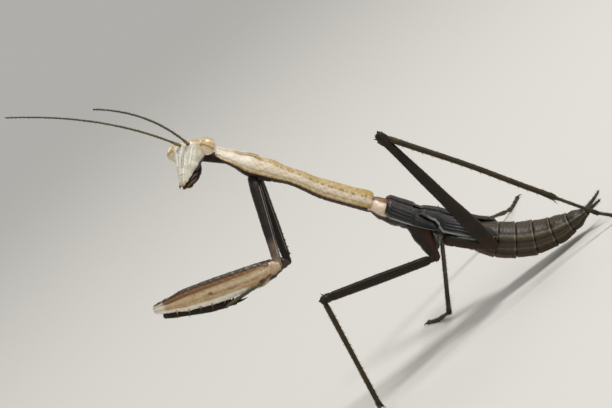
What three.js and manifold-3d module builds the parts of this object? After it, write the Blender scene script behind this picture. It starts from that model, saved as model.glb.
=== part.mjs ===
// A praying mantis, a late nymph with short wing pads, at life size in millimetres, +Z up.
// It stands on the floor with its fore body reared up, its head turned to its left and its
// grasping forelegs folded. The head points to -X, the animal's left side faces -Y.
import * as THREE from 'three';
import Module from 'manifold-3d';
import { mergeVertices } from 'three/addons/utils/BufferGeometryUtils.js';

const wasm = await Module();
wasm.setup();

// ---------------------------------------------------------------- driving dimensions
const GAP = 0.25;               // clear space between neighbouring pieces
const FOOT_HEIGHT = 0.22;       // axis of a foot above the floor, so its flat is about 0.4 wide
const LIMB_SIDES = 8;
const TRUNK_SIDES = 16;
const PRONOTUM_STEPS = 16;
const PROSTERNUM_STEPS = 10;

// The trunk frame: x runs forward, y to the animal's left, z to its back.
const TRUNK = { origin: [0, -1.7, 17.1], heading: 177, pitch: 55.4, roll: 17 };
const PRONOTUM_FRONT = 29.3;
const PRONOTUM_REAR = 6.45;
const PROSTERNUM_FRONT = 27.4;
const MARGIN_LEVEL = -0.15;     // height of the pronotum's side edges
const THORAX_SPLIT = 1.1;       // between middle and hind thorax
const WAIST = -3.7;             // where the abdomen begins
const ABDOMEN = { segments: 8, length: 22, straight: 6, curl: 62, level: -0.35 };

const HEAD = { centre: [32.85, 1.4, 1.2], heading: 35.3, pitch: 28.2, roll: -44.3 };
const EYE = { offset: 2.65, height: 0.05, setback: 0.2, depth: 1.2, width: 1.28, tall: 1.25, lean: 14 };
const ANTENNA = { radius: 0.25, scapeRadius: 0.34, scapeLength: 1.1, steps: 12 };

const FORE = { coxa: 13.2, trochanter: 1.5, femur: 16.3, tibia: 8.2, claw: 1.8 };
const MIDDLE = {
  coxa: 5.4,
  femur: 17.5,
  tibia: 16.6,
  tarsus: [3.6, 1.5, 1.1, 0.8, 1.5],
  bend: [1, 0.8, 0.4, 0, 0],
};
const HIND = {
  coxa: 6.6,
  femur: 23.8,
  tibia: 25.8,
  tarsus: [6.4, 2.5, 1.7, 1.2, 1.8],
  bend: [1, 0.8, 0.3, 0, 0],
};

// Stance of each leg: where its coxa leaves the trunk, and the bearing of each segment as
// [azimuth, elevation] in degrees on the floor's axes.
const STANCE = {
  foreleg_left: { base: [23.4, 1.5, -0.5], coxa: [-129, -53.5], femur: [180, 20.5] },
  foreleg_right: { base: [23.15, -1.4, -0.92], coxa: [-153.5, -68.5], femur: [180, 19.8] },
  midleg_left: { base: [-0.5, 1.3, -0.65], coxa: [-147.5, -77.7], femur: [-166, 21.5],
    tibia: [-152, -76.5], foot: -112 },
  midleg_right: { base: [-0.5, -1.3, -0.75], coxa: [108.6, -74.8], femur: [77, 1],
    tibia: [-131, -39], foot: 112 },
  hindleg_left: { base: [-5.2, 2.2, -1.3], coxa: [-27.5, -43], femur: [-117, 76],
    tibia: [1, -59.5], foot: -9 },
  hindleg_right: { base: [-5.2, -2.2, -1.3], coxa: [4, -46], femur: [122, 31],
    tibia: [50, -41], foot: 62 },
};

// ---------------------------------------------------------------- materials
const finish = (color, roughness) => new THREE.MeshStandardMaterial({ color, roughness, metalness: 0 });
const CUTICLE_PALE = finish(0xd8cbb0, 0.45);
const CUTICLE_BROWN = finish(0x3a2a1e, 0.4);
const CUTICLE_OLIVE = finish(0x4a4126, 0.45);
const PAD_GREY = finish(0x4b4a4c, 0.5);
const EYE_TAN = finish(0xc9b48a, 0.25);
const FORELEG_TAN = finish(0xc8b394, 0.4);

// ---------------------------------------------------------------- geometry helpers
const vec = (x, y, z) => new THREE.Vector3(x, y, z);
const radians = THREE.MathUtils.degToRad;

/** Unit vector for an azimuth and an elevation in degrees. */
function bearing(azimuth, elevation) {
  const [turn, lift] = [radians(azimuth), radians(elevation)];
  return vec(Math.cos(lift) * Math.cos(turn), Math.cos(lift) * Math.sin(turn), Math.sin(lift));
}

/** Turns forward-left-back axes to a heading, a pitch and a roll with the left side down. */
function attitude(heading, pitch, roll) {
  const forward = bearing(heading, pitch);
  const level = vec(0, 0, 1).cross(forward).normalize();
  const upright = forward.clone().cross(level);
  const left = level.clone().multiplyScalar(Math.cos(radians(roll)));
  left.addScaledVector(upright, -Math.sin(radians(roll)));
  const back = forward.clone().cross(left);
  return new THREE.Quaternion().setFromRotationMatrix(new THREE.Matrix4().makeBasis(forward, left, back));
}

/** Piecewise value at x through [x, value] pairs in rising x, eased between them. */
function profile(pairs, x) {
  if (x <= pairs[0][0]) return pairs[0][1];
  for (let i = 1; i < pairs.length; i += 1) {
    if (x <= pairs[i][0]) {
      const [x0, v0] = pairs[i - 1];
      const [x1, v1] = pairs[i];
      const t = (x - x0) / (x1 - x0);
      return v0 + (v1 - v0) * t * t * (3 - 2 * t);
    }
  }
  return pairs[pairs.length - 1][1];
}

/** Evenly spaced numbers from a to b. */
function spaced(a, b, count) {
  return Array.from({ length: count }, (_, i) => a + ((b - a) * i) / (count - 1));
}

/** Joins rings of points into one closed body. The first and last rings are single points. */
function skin(rings) {
  const positions = [];
  const starts = [];
  for (const ring of rings) {
    starts.push(positions.length / 3);
    ring.forEach((p) => positions.push(p.x, p.y, p.z));
  }
  const index = [];
  for (let r = 0; r + 1 < rings.length; r += 1) {
    const [a, b] = [starts[r], starts[r + 1]];
    const [na, nb] = [rings[r].length, rings[r + 1].length];
    const count = Math.max(na, nb);
    for (let i = 0; i < count; i += 1) {
      const j = (i + 1) % count;
      if (na > 1) index.push(a + i, a + j, b + (nb > 1 ? j : 0));
      if (nb > 1) index.push(a + (na > 1 ? i : 0), b + j, b + i);
    }
  }
  const geometry = new THREE.BufferGeometry();
  geometry.setAttribute('position', new THREE.Float32BufferAttribute(positions, 3));
  geometry.setIndex(index);
  return facingOut(geometry);
}

/** Reverses the faces of a closed body whose faces point in. */
function facingOut(geometry) {
  const p = geometry.attributes.position;
  const index = geometry.index;
  let volume = 0;
  for (let i = 0; i < index.count; i += 3) {
    const [a, b, c] = [0, 1, 2].map((k) => new THREE.Vector3().fromBufferAttribute(p, index.getX(i + k)));
    volume += a.dot(b.cross(c));
  }
  if (volume < 0) {
    for (let i = 0; i < index.count; i += 3) {
      const first = index.getX(i);
      index.setX(i, index.getX(i + 1));
      index.setX(i + 1, first);
    }
  }
  return geometry;
}

/** Ring of points round a centre: half-width along side, half-height along top. */
function oval(centre, side, top, width, height, sides = LIMB_SIDES, lower = height) {
  return Array.from({ length: sides }, (_, i) => {
    const a = (2 * Math.PI * (i + 0.5)) / sides;
    const rise = Math.sin(a) > 0 ? height : lower;
    return centre.clone()
      .addScaledVector(side, width * Math.cos(a))
      .addScaledVector(top, rise * Math.sin(a));
  });
}

/**
 * Limb along +x from 0 to length with round ends. Each station is [fraction, half-width in y,
 * half-height in z, shift in z].
 */
function limb(length, stations, sides = LIMB_SIDES) {
  const rings = [];
  const [first, last] = [stations[0], stations[stations.length - 1]];
  const add = (x, width, height, shift) => {
    rings.push(oval(vec(x, 0, shift), vec(0, 1, 0), vec(0, 0, 1), width, height, sides));
  };
  const ends = [70, 40];
  const cap = ([fraction, width, height, shift = 0], sign, degrees) => {
    const reach = Math.min(width, height) * Math.sin(radians(degrees));
    const shrink = Math.cos(radians(degrees));
    add(fraction * length + sign * reach, width * shrink, height * shrink, shift);
  };
  rings.push([vec(-Math.min(first[1], first[2]), 0, first[3] ?? 0)]);
  ends.forEach((degrees) => cap(first, -1, degrees));
  stations.forEach(([fraction, width, height, shift = 0]) => add(fraction * length, width, height, shift));
  [...ends].reverse().forEach((degrees) => cap(last, 1, degrees));
  rings.push([vec(length + Math.min(last[1], last[2]), 0, last[3] ?? 0)]);
  return skin(rings);
}

/** Tube of round section through points in space, with a half-thickness for each. */
function tube(points, radii, sides = LIMB_SIDES) {
  const rings = [];
  const count = points.length;
  const tangents = points.map((_, i) => points[Math.min(i + 1, count - 1)].clone()
    .sub(points[Math.max(i - 1, 0)]).normalize());
  const hint = Math.abs(tangents[0].z) < 0.9 ? vec(0, 0, 1) : vec(1, 0, 0);
  let side = tangents[0].clone().cross(hint).normalize();
  rings.push([points[0].clone().addScaledVector(tangents[0], -radii[0] * 0.7)]);
  points.forEach((point, i) => {
    side = side.clone().addScaledVector(tangents[i], -side.dot(tangents[i])).normalize();
    const top = tangents[i].clone().cross(side);
    rings.push(oval(point, side, top, radii[i], radii[i], sides));
  });
  rings.push([points[count - 1].clone().addScaledVector(tangents[count - 1], radii[count - 1] * 0.7)]);
  return skin(rings);
}

/** Cone from base to tip, for a spine or a claw, sunk a little into what carries it. */
function spike(base, tip, radius) {
  const along = tip.clone().sub(base).normalize();
  const hint = Math.abs(along.z) < 0.9 ? vec(0, 0, 1) : vec(1, 0, 0);
  const side = along.clone().cross(hint).normalize();
  const top = along.clone().cross(side);
  const root = base.clone().addScaledVector(along, 0.02);
  return skin([[base], oval(root, side, top, radius, radius, 5), [tip]]);
}

/** Solid for cutting and joining from a closed geometry, seen through a matrix. */
function solid(geometry, matrix = new THREE.Matrix4()) {
  const bare = new THREE.BufferGeometry();
  bare.setAttribute('position', geometry.attributes.position.clone());
  if (geometry.index) bare.setIndex(geometry.index.clone());
  bare.applyMatrix4(matrix);
  const merged = mergeVertices(bare, 1e-5);
  return new wasm.Manifold(new wasm.Mesh({
    numProp: 3,
    vertProperties: new Float32Array(merged.attributes.position.array),
    triVerts: new Uint32Array(merged.index.array),
  }));
}

/** Geometry of a solid, moved back by the inverse of the matrix it was made with. */
function shape(body, matrix = new THREE.Matrix4()) {
  const mesh = body.getMesh();
  const geometry = new THREE.BufferGeometry();
  geometry.setAttribute('position', new THREE.BufferAttribute(new Float32Array(mesh.vertProperties), 3));
  geometry.setIndex(new THREE.BufferAttribute(new Uint32Array(mesh.triVerts), 1));
  geometry.applyMatrix4(matrix.clone().invert());
  return geometry;
}

/** Box that fills the space in front of a plane given by a point and a direction. */
function spaceBeyond(point, direction, size = 60) {
  const box = new THREE.BoxGeometry(size, size, size).translate(size / 2, 0, 0);
  const turn = new THREE.Quaternion().setFromUnitVectors(vec(1, 0, 0), direction.clone().normalize());
  return solid(box, new THREE.Matrix4().compose(point, turn, vec(1, 1, 1)));
}

const FLOOR_BLOCK = spaceBeyond(vec(0, 0, 0), vec(0, 0, -1), 200);

// ---------------------------------------------------------------- assembly
const mantis = new THREE.Group();
const trunk = new THREE.Group();
trunk.position.set(...TRUNK.origin);
trunk.quaternion.copy(attitude(TRUNK.heading, TRUNK.pitch, TRUNK.roll));
mantis.add(trunk);
const headGroup = new THREE.Group();
headGroup.position.set(...HEAD.centre);
headGroup.quaternion.copy(attitude(HEAD.heading, HEAD.pitch, HEAD.roll));
trunk.add(headGroup);
mantis.updateMatrixWorld(true);

/** Adds a named mesh to a group. */
function addPiece(group, name, geometry, material) {
  geometry.computeVertexNormals();
  const mesh = new THREE.Mesh(geometry, material);
  mesh.name = name;
  group.add(mesh);
  return mesh;
}

// ---------------------------------------------------------------- trunk
const PRONOTUM_WIDTH = [[6.3, 1.55], [7.4, 1.75], [12.5, 1.7], [15.6, 1.52], [18.5, 1.5], [21.4, 1.9],
  [23.8, 2.22], [26.2, 1.8], [28.2, 1.5], [29.3, 1.1]];
const PRONOTUM_HEIGHT = [[6.3, 1.45], [7.2, 1.75], [9, 1.6], [12.5, 1.65], [15.6, 1.42], [18.5, 1.25],
  [21.6, 1.6], [22.5, 1.52], [24.3, 1.75], [26.5, 1.15], [29.3, 0.75]];
const PROTHORAX_RISE = [[6.3, 0], [12.7, -0.03], [18.5, 0.66], [24.4, 0.78], [27.3, 1.15], [29.3, 1.3]];
const PROSTERNUM_DEPTH = [[6.3, 0.9], [12.7, 0.85], [18.5, 0.75], [23, 1.3], [27.4, 0.7]];

/** Closed half-round section across the prothorax, flat side at the given level. */
function archRing(x, level, width, height, sides = TRUNK_SIDES) {
  const half = sides / 2;
  const ring = [];
  for (let i = 0; i <= half; i += 1) {
    const a = (Math.PI * i) / half;
    ring.push(vec(x, width * Math.cos(a), level + height * Math.sin(a) ** 0.9));
  }
  for (let i = 1; i < half; i += 1) {
    ring.push(vec(x, width * (-1 + (2 * i) / half), level));
  }
  return ring;
}

/** Body of half-round sections from x0 to x1. */
function arch(x0, x1, steps, levelAt, widthAt, heightAt) {
  const stations = spaced(x0, x1, steps);
  const rings = stations.map((x) => archRing(x, levelAt(x), widthAt(x), heightAt(x)));
  const endPoint = (x) => [vec(x, 0, levelAt(x) + heightAt(x) * 0.35)];
  return skin([endPoint(x0), ...rings, endPoint(x1)]);
}

const rise = (x) => profile(PROTHORAX_RISE, x) + MARGIN_LEVEL;
const pronotum = arch(PRONOTUM_REAR, PRONOTUM_FRONT, PRONOTUM_STEPS, rise,
  (x) => profile(PRONOTUM_WIDTH, x), (x) => profile(PRONOTUM_HEIGHT, x));
addPiece(trunk, 'pronotum', pronotum, CUTICLE_PALE);
const prosternum = arch(PRONOTUM_REAR + 0.1, PROSTERNUM_FRONT, PROSTERNUM_STEPS, (x) => rise(x) - GAP,
  (x) => profile(PRONOTUM_WIDTH, x) - 0.3, (x) => -profile(PROSTERNUM_DEPTH, x));
addPiece(trunk, 'prosternum', prosternum, CUTICLE_BROWN);

const PTERO_LEVEL = -0.35;
const PTERO_WIDTH = [[-3.8, 1.75], [-1, 1.8], [2.5, 1.85], [4.6, 1.75], [6.2, 1.4]];
const PTERO_TOP = [[-3.8, 1.1], [-1, 1.1], [2.5, 1.2], [4.6, 1.4], [6.2, 1.4]];
const PTERO_BELLY = [[-3.8, 1.75], [-1, 2.0], [2.5, 1.95], [4.6, 1.55], [6.2, 0.95]];

/** Thorax of oval sections between two stations, larger all round by grow. */
function thorax(x0, x1, steps, grow = 0) {
  const rings = spaced(x0, x1, steps).map((x) => oval(vec(x, 0, PTERO_LEVEL), vec(0, 1, 0), vec(0, 0, 1),
    profile(PTERO_WIDTH, x) + grow, profile(PTERO_TOP, x) + grow, TRUNK_SIDES,
    profile(PTERO_BELLY, x) + grow));
  return skin([[vec(x0, 0, PTERO_LEVEL)], ...rings, [vec(x1, 0, PTERO_LEVEL)]]);
}

addPiece(trunk, 'mesothorax', thorax(THORAX_SPLIT + GAP / 2, PRONOTUM_REAR - GAP, 6), CUTICLE_BROWN);
addPiece(trunk, 'metathorax', thorax(WAIST + GAP, THORAX_SPLIT - GAP / 2, 6), CUTICLE_BROWN);

const ABDOMEN_WIDTH = [[0, 1.75], [4, 2.2], [9, 2.8], [13, 2.85], [17, 2.4], [20, 1.6], [22, 0.75]];
const ABDOMEN_TOP = [[0, 1.1], [4, 1.6], [9, 2.35], [13, 2.3], [17, 1.9], [20, 1.3], [22, 0.6]];
const ABDOMEN_BELLY = [[0, 1.7], [4, 2.15], [9, 2.65], [13, 2.5], [17, 2.0], [20, 1.3], [22, 0.6]];

/** Point and axes of the abdomen's midline at a distance behind the waist. */
function abdomenFrame(s) {
  const bendLength = ABDOMEN.length - ABDOMEN.straight;
  const radius = bendLength / radians(ABDOMEN.curl);
  const turned = Math.max(s - ABDOMEN.straight, 0) / radius;
  const straight = Math.min(s, ABDOMEN.straight);
  const height = ABDOMEN.level + radius * (1 - Math.cos(turned));
  const point = vec(WAIST - straight - radius * Math.sin(turned), 0, height);
  return { point, top: vec(Math.sin(turned), 0, Math.cos(turned)) };
}

/** Length of abdomen between two distances behind the waist, larger all round by grow. */
function abdomenLength(s0, s1, steps, grow = 0) {
  const frames = spaced(s0, s1, steps).map((s) => ({ s, ...abdomenFrame(s) }));
  const rings = frames.map(({ s, point, top }) => oval(point, vec(0, 1, 0), top,
    profile(ABDOMEN_WIDTH, s) + grow, profile(ABDOMEN_TOP, s) + grow, TRUNK_SIDES,
    profile(ABDOMEN_BELLY, s) + grow));
  return skin([[frames[0].point], ...rings, [frames[steps - 1].point]]);
}

for (let i = 0; i < ABDOMEN.segments; i += 1) {
  const pitch = ABDOMEN.length / ABDOMEN.segments;
  addPiece(trunk, `abdomen_${i + 1}`, abdomenLength(i * pitch, (i + 1) * pitch - GAP, 3), CUTICLE_OLIVE);
}

// A pair of short feelers at the tip of the abdomen.
for (const side of [1, -1]) {
  const { point, top } = abdomenFrame(ABDOMEN.length + 0.3);
  const back = top.clone().cross(vec(0, 1, 0));
  const points = spaced(0, 1, 4).map((t) => point.clone().addScaledVector(back, 2.6 * t)
    .add(vec(0, side * (0.42 + 1.0 * t), 0)).addScaledVector(top, 0.2 + 0.25 * t * t));
  const word = side > 0 ? 'left' : 'right';
  addPiece(trunk, `cercus_${word}`, tube(points, [0.3, 0.32, 0.28, 0.22], 6), CUTICLE_OLIVE);
}

// ---------------------------------------------------------------- wing pads
/** Surface of thorax and abdomen together, for laying the pads on. */
function backRadii(x) {
  const thoracic = [profile(PTERO_WIDTH, x), profile(PTERO_TOP, x)];
  const s = WAIST - x;
  const abdominal = [profile(ABDOMEN_WIDTH, s), profile(ABDOMEN_TOP, s)];
  return x < WAIST ? abdominal : thoracic;
}

const PAD = { clear: 0.3, thick: 0.5, across: 5 };
const FORE_PAD = {
  span: [-3.3, 4.4],
  steps: 10,
  inner: [[-3.3, 76], [-2.4, 60], [-0.1, 48], [0.8, 8], [4.4, 7]],
  outer: [[-3.3, 88], [-2.4, 98], [1, 103], [3.4, 98], [4.4, 84]],
  lift: [[-3.3, 0], [4.4, 0]],
};
const HIND_PAD = {
  span: [-11.6, -0.4],
  steps: 14,
  inner: [[-11.6, 44], [-10, 27], [-6, 9], [-0.4, 7]],
  outer: [[-11.6, 54], [-10.4, 68], [-8, 82], [-4.2, 90], [-3.6, 78], [-3.3, 62], [-2.6, 50], [-0.4, 35]],
  lift: [[-11.6, 0], [-6, 0.12], [-3.5, 0.3], [-0.4, 0]],
};

/**
 * Curved plate over one side of the back, larger all round by grow. The angles are measured
 * from the midline of the back down the side.
 */
function wingPad(side, pad, grow = 0) {
  const spill = grow * 30;
  const ring = (x) => {
    const [width, height] = backRadii(x);
    const point = (degrees, out) => {
      const a = radians(degrees);
      const off = PAD.clear + profile(pad.lift, x) + out;
      return vec(x, side * (width + off) * Math.sin(a), PTERO_LEVEL + (height + off) * Math.cos(a));
    };
    const angles = spaced(profile(pad.inner, x) - spill, profile(pad.outer, x) + spill, PAD.across);
    const outside = angles.map((a) => point(a, PAD.thick + grow));
    const inside = [...angles].reverse().map((a) => point(a, -grow));
    return [...outside, ...inside];
  };
  const rings = spaced(pad.span[0] - grow, pad.span[1] + grow, pad.steps).map(ring);
  const middle = (points) => {
    const total = points.reduce((sum, p) => sum.add(p), vec(0, 0, 0));
    return [total.divideScalar(points.length)];
  };
  return skin([middle(rings[0]), ...rings, middle(rings[pad.steps - 1])]);
}

for (const side of [1, -1]) {
  const word = side > 0 ? 'left' : 'right';
  addPiece(trunk, `forewing_pad_${word}`, wingPad(side, FORE_PAD), PAD_GREY);
  addPiece(trunk, `hindwing_pad_${word}`, wingPad(side, HIND_PAD), PAD_GREY);
}

// ---------------------------------------------------------------- head
// In the head's frame x runs out of the face, y to the animal's left, z to the crown.
const HEAD_WIDTH = [[-5.9, 0.3], [-5.2, 0.72], [-4.2, 1.05], [-2.6, 1.75], [-1, 2.5], [0.2, 2.85],
  [1.3, 1.2]];
const HEAD_FACE = [[-5.9, 1.3], [-4.2, 1.42], [-2, 1.45], [0, 1.5], [0.8, 1.1], [1.3, 0.35]];
const HEAD_REAR = [[-5.9, 0.5], [-4.2, -0.5], [-2.2, -1.25], [0, -1.45], [0.8, -1.1], [1.3, -0.4]];

/** Head capsule of oval sections, larger all round by grow. */
function headCapsule(grow = 0) {
  const levels = [-5.9, -5.5, -4.8, -4.2, -3.4, -2.6, -1.8, -1.0, -0.3, 0.3, 0.7, 1.05, 1.3];
  const rings = levels.map((z) => {
    const [front, rear] = [profile(HEAD_FACE, z), profile(HEAD_REAR, z)];
    return oval(vec((front + rear) / 2, 0, z), vec(0, 1, 0), vec(1, 0, 0),
      profile(HEAD_WIDTH, z) + grow, (front - rear) / 2 + grow, 14);
  });
  const low = vec(0.95, 0, -6.05 - grow);
  const high = vec(0, 0, 1.42 + grow);
  return skin([[low], ...rings, [high]]);
}

/** Egg-shaped compound eye at one side of the head, larger all round by grow. */
function eye(side, grow = 0) {
  const lean = -side * radians(EYE.lean);
  const centre = vec(-EYE.setback, side * EYE.offset, EYE.height);
  const top = vec(0, -Math.sin(lean), Math.cos(lean));
  const across = vec(0, Math.cos(lean), Math.sin(lean));
  const rings = [-75, -50, -25, 0, 25, 50, 75].map((degrees) => {
    const [c, s] = [Math.cos(radians(degrees)), Math.sin(radians(degrees))];
    const middle = centre.clone().addScaledVector(top, (EYE.tall + grow) * s);
    return oval(middle, vec(1, 0, 0), across, (EYE.depth + grow) * c, (EYE.width + grow) * c, 12);
  });
  const pole = (sign) => [centre.clone().addScaledVector(top, sign * (EYE.tall + grow))];
  return skin([pole(-1), ...rings, pole(1)]);
}

/** Curve of one feeler in the head's frame. */
function antennaCurve(side) {
  const base = vec(1.5 + GAP, side * 0.7, 0.1);
  const control = side > 0 ? vec(12.7, 2.4, -0.2) : vec(11.0, -6.9, 2.2);
  const tip = side > 0 ? vec(24.4, 2.8, -5.4) : vec(19.4, -17.2, 0.1);
  return new THREE.QuadraticBezierCurve3(base, control, tip);
}

/** Feeler with a thick first joint, as one closed body. */
function antenna(side) {
  const curve = antennaCurve(side);
  const scapeEnd = ANTENNA.scapeLength / curve.getLength();
  const fractions = [0, scapeEnd * 0.5, scapeEnd, ...spaced(scapeEnd * 1.6, 1, ANTENNA.steps)];
  const points = fractions.map((t) => curve.getPointAt(t));
  const radii = fractions.map((t) => (t < scapeEnd ? ANTENNA.scapeRadius : ANTENNA.radius));
  return tube(points, radii, 6);
}

let capsule = solid(headCapsule());
for (const side of [1, -1]) {
  capsule = capsule.subtract(solid(eye(side, GAP)));
  const rim = antennaCurve(side).getPointAt(0).add(vec(0.4, 0, 0));
  const socket = spike(rim, vec(1.0, rim.y, rim.z), 0.3);
  capsule = capsule.subtract(solid(socket));
  addPiece(headGroup, side > 0 ? 'eye_left' : 'eye_right', eye(side), EYE_TAN);
  addPiece(headGroup, side > 0 ? 'antenna_left' : 'antenna_right', antenna(side), CUTICLE_OLIVE);
}

// Jaws, palps and lower lip, behind the face.
// Each ring of the jaws is [z, half-width, half-depth, shift in x].
const JAW = [[-5.7, 0.35, 0.3, 0.1], [-5.3, 0.6, 0.5, -0.15], [-4.7, 0.8, 0.6, -0.5],
  [-4.0, 0.95, 0.6, -0.9], [-3.3, 1.05, 0.6, -1.15], [-2.4, 1.15, 0.6, -1.4], [-1.7, 1.05, 0.45, -1.45]];

/** Body of jaws, palps and the rear of the cheeks, larger all round by grow. */
function jawBody(grow = 0) {
  const rings = JAW.map(([z, width, depth, x]) => (
    oval(vec(x, 0, z), vec(0, 1, 0), vec(1, 0, 0), width + grow, depth + grow, 10)
  ));
  return solid(skin([[vec(0.1, 0, -5.85 - grow)], ...rings, [vec(-1.45, 0, -1.4 + grow)]]));
}

const jaws = jawBody().subtract(solid(headCapsule(GAP)));
addPiece(headGroup, 'mouthparts', shape(jaws), CUTICLE_BROWN);
addPiece(headGroup, 'head', shape(capsule), CUTICLE_PALE);

// Neck, from behind the head into the front of the prothorax.
headGroup.updateMatrixWorld(true);
const trunkToHead = headGroup.matrix.clone();
const neckStart = vec(27.9, 0, 0.75);
const neckEnd = vec(-0.6, 0, -0.8).applyMatrix4(trunkToHead);
const neckPoints = spaced(0, 1, 5).map((t) => neckStart.clone().lerp(neckEnd, t));
let neck = solid(tube(neckPoints, [0.6, 0.65, 0.68, 0.68, 0.65], 10));
neck = neck.subtract(solid(headCapsule(GAP), trunkToHead));
neck = neck.subtract(solid(arch(PRONOTUM_REAR, PRONOTUM_FRONT + GAP, PRONOTUM_STEPS, (x) => rise(x) - GAP,
  (x) => profile(PRONOTUM_WIDTH, x) + GAP, (x) => profile(PRONOTUM_HEIGHT, x) + 2 * GAP)));
neck = neck.subtract(solid(arch(PRONOTUM_REAR, PROSTERNUM_FRONT + GAP, PROSTERNUM_STEPS, (x) => rise(x),
  (x) => profile(PRONOTUM_WIDTH, x), (x) => -profile(PROSTERNUM_DEPTH, x) - 2 * GAP)));
neck = neck.subtract(jawBody(GAP).transform(trunkToHead.elements));
for (const side of [1, -1]) neck = neck.subtract(solid(eye(side, GAP), trunkToHead));
addPiece(trunk, 'neck', shape(neck), CUTICLE_BROWN);

// ---------------------------------------------------------------- legs
/** Matrix that lays +x along a direction from a point, with +y near the side hint. */
function alongLimb(start, direction, sideHint) {
  const side = sideHint.clone().addScaledVector(direction, -sideHint.dot(direction)).normalize();
  const top = direction.clone().cross(side);
  return new THREE.Matrix4().makeBasis(direction, side, top).setPosition(start);
}

/** Cuts a solid off short of the plane that halves the bend at a joint. */
function mitre(body, joint, before, after, keepBefore) {
  const normal = before.clone().add(after).normalize();
  const sign = keepBefore ? 1 : -1;
  const point = joint.clone().addScaledVector(normal, -sign * GAP / 2);
  return body.subtract(spaceBeyond(point, normal.multiplyScalar(sign)));
}

/** Adds a leg piece with its own position and turn, from a solid in floor axes. */
function addLegPiece(name, body, matrix, material) {
  const mesh = addPiece(mantis, name, shape(body, matrix), material);
  matrix.decompose(mesh.position, mesh.quaternion, mesh.scale);
}

/** Points of a foot that bends down from the heel and lies flat at its end. */
function layFoot(heel, azimuth, joints, bend) {
  const drop = heel.z - FOOT_HEIGHT;
  let [low, high] = [0, 89];
  for (let i = 0; i < 40; i += 1) {
    const steep = (low + high) / 2;
    const fall = joints.reduce((sum, length, k) => sum + length * Math.sin(radians(steep * bend[k])), 0);
    if (fall < drop) low = steep; else high = steep;
  }
  const points = [heel];
  joints.forEach((length, k) => {
    const step = bearing(azimuth, -low * bend[k]).multiplyScalar(length);
    points.push(points[points.length - 1].clone().add(step));
  });
  return points;
}

const TRUNK_KEEP_OUT = solid(thorax(WAIST, PRONOTUM_REAR, 12, GAP), trunk.matrixWorld)
  .add(solid(abdomenLength(0, 18, 12, GAP), trunk.matrixWorld))
  .add(solid(wingPad(1, FORE_PAD, GAP), trunk.matrixWorld))
  .add(solid(wingPad(-1, FORE_PAD, GAP), trunk.matrixWorld))
  .add(solid(wingPad(1, HIND_PAD, GAP), trunk.matrixWorld))
  .add(solid(wingPad(-1, HIND_PAD, GAP), trunk.matrixWorld));
const FORE_KEEP_OUT = solid(arch(PRONOTUM_REAR, PRONOTUM_FRONT, PRONOTUM_STEPS, (x) => rise(x) - GAP,
  (x) => profile(PRONOTUM_WIDTH, x) + GAP, (x) => profile(PRONOTUM_HEIGHT, x) + 2 * GAP), trunk.matrixWorld);
const STERNUM_KEEP_OUT = solid(arch(PRONOTUM_REAR, PROSTERNUM_FRONT + GAP, PROSTERNUM_STEPS, rise,
  (x) => profile(PRONOTUM_WIDTH, x), (x) => -profile(PROSTERNUM_DEPTH, x) - 2 * GAP), trunk.matrixWorld);

const WALKING_SHAPES = {
  MIDDLE: {
    coxa: [[0, 1.05, 1.5], [0.3, 1.05, 1.5], [0.6, 0.9, 1.12], [0.9, 0.62, 0.8], [1, 0.55, 0.64]],
    femur: [[0, 0.5, 0.6], [0.12, 0.55, 0.7], [0.5, 0.55, 0.7], [0.9, 0.5, 0.68], [1, 0.42, 0.5]],
    tibia: [[0, 0.4, 0.45], [0.1, 0.36, 0.4], [0.6, 0.34, 0.36], [1, 0.38, 0.4]],
  },
  HIND: {
    coxa: [[0, 0.72, 0.85], [0.4, 0.7, 0.85], [1, 0.55, 0.6]],
    femur: [[0, 0.55, 0.7], [0.07, 0.7, 1.08], [0.2, 0.7, 1.12], [0.5, 0.6, 0.86], [0.9, 0.5, 0.66],
      [0.97, 0.56, 0.8], [1, 0.5, 0.68]],
    tibia: [[0, 0.42, 0.46], [0.08, 0.38, 0.42, 0.08], [0.5, 0.34, 0.37, 0.28], [0.9, 0.34, 0.37, 0.08],
      [1, 0.38, 0.4]],
  },
};

/** Builds coxa, femur, tibia and foot of a walking leg. */
function walkingLeg(name, sizes, shapes) {
  const stance = STANCE[name];
  const base = trunk.localToWorld(vec(...stance.base));
  const directions = [stance.coxa, stance.femur, stance.tibia].map((pair) => bearing(...pair));
  const lengths = [sizes.coxa, sizes.femur, sizes.tibia];
  const joints = [base];
  directions.forEach((d, i) => joints.push(joints[i].clone().addScaledVector(d, lengths[i])));
  const foot = layFoot(joints[3], stance.foot, sizes.tarsus, sizes.bend);
  directions.push(foot[1].clone().sub(foot[0]).normalize());
  const bendAxis = directions[1].clone().cross(directions[2]).normalize();
  ['coxa', 'femur', 'tibia'].forEach((part, i) => {
    const matrix = alongLimb(joints[i], directions[i], bendAxis);
    let body = solid(limb(lengths[i], shapes[part]), matrix);
    if (i > 0) body = mitre(body, joints[i], directions[i - 1], directions[i], false);
    body = mitre(body, joints[i + 1], directions[i], directions[i + 1], true);
    if (i === 0) body = body.subtract(TRUNK_KEEP_OUT);
    addLegPiece(`${name}_${part}`, body, matrix, CUTICLE_BROWN);
  });
  const radii = [0.34, 0.3, 0.32, 0.32, 0.32, 0.26];
  let tarsus = solid(tube(foot, radii));
  const [heel, toe] = [foot[0], foot[foot.length - 1]];
  const onward = bearing(stance.foot, 0);
  const sideways = bearing(stance.foot + 90, 0);
  for (const side of [1, -1]) {
    const tip = toe.clone().addScaledVector(onward, 0.75).addScaledVector(sideways, side * 0.5);
    tarsus = tarsus.add(solid(spike(toe.clone().addScaledVector(onward, -0.2), tip, 0.24)));
  }
  tarsus = mitre(tarsus, heel, directions[2], directions[3], false).subtract(FLOOR_BLOCK);
  addLegPiece(`${name}_tarsus`, tarsus, alongLimb(heel, directions[3], sideways), CUTICLE_BROWN);
}

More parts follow.
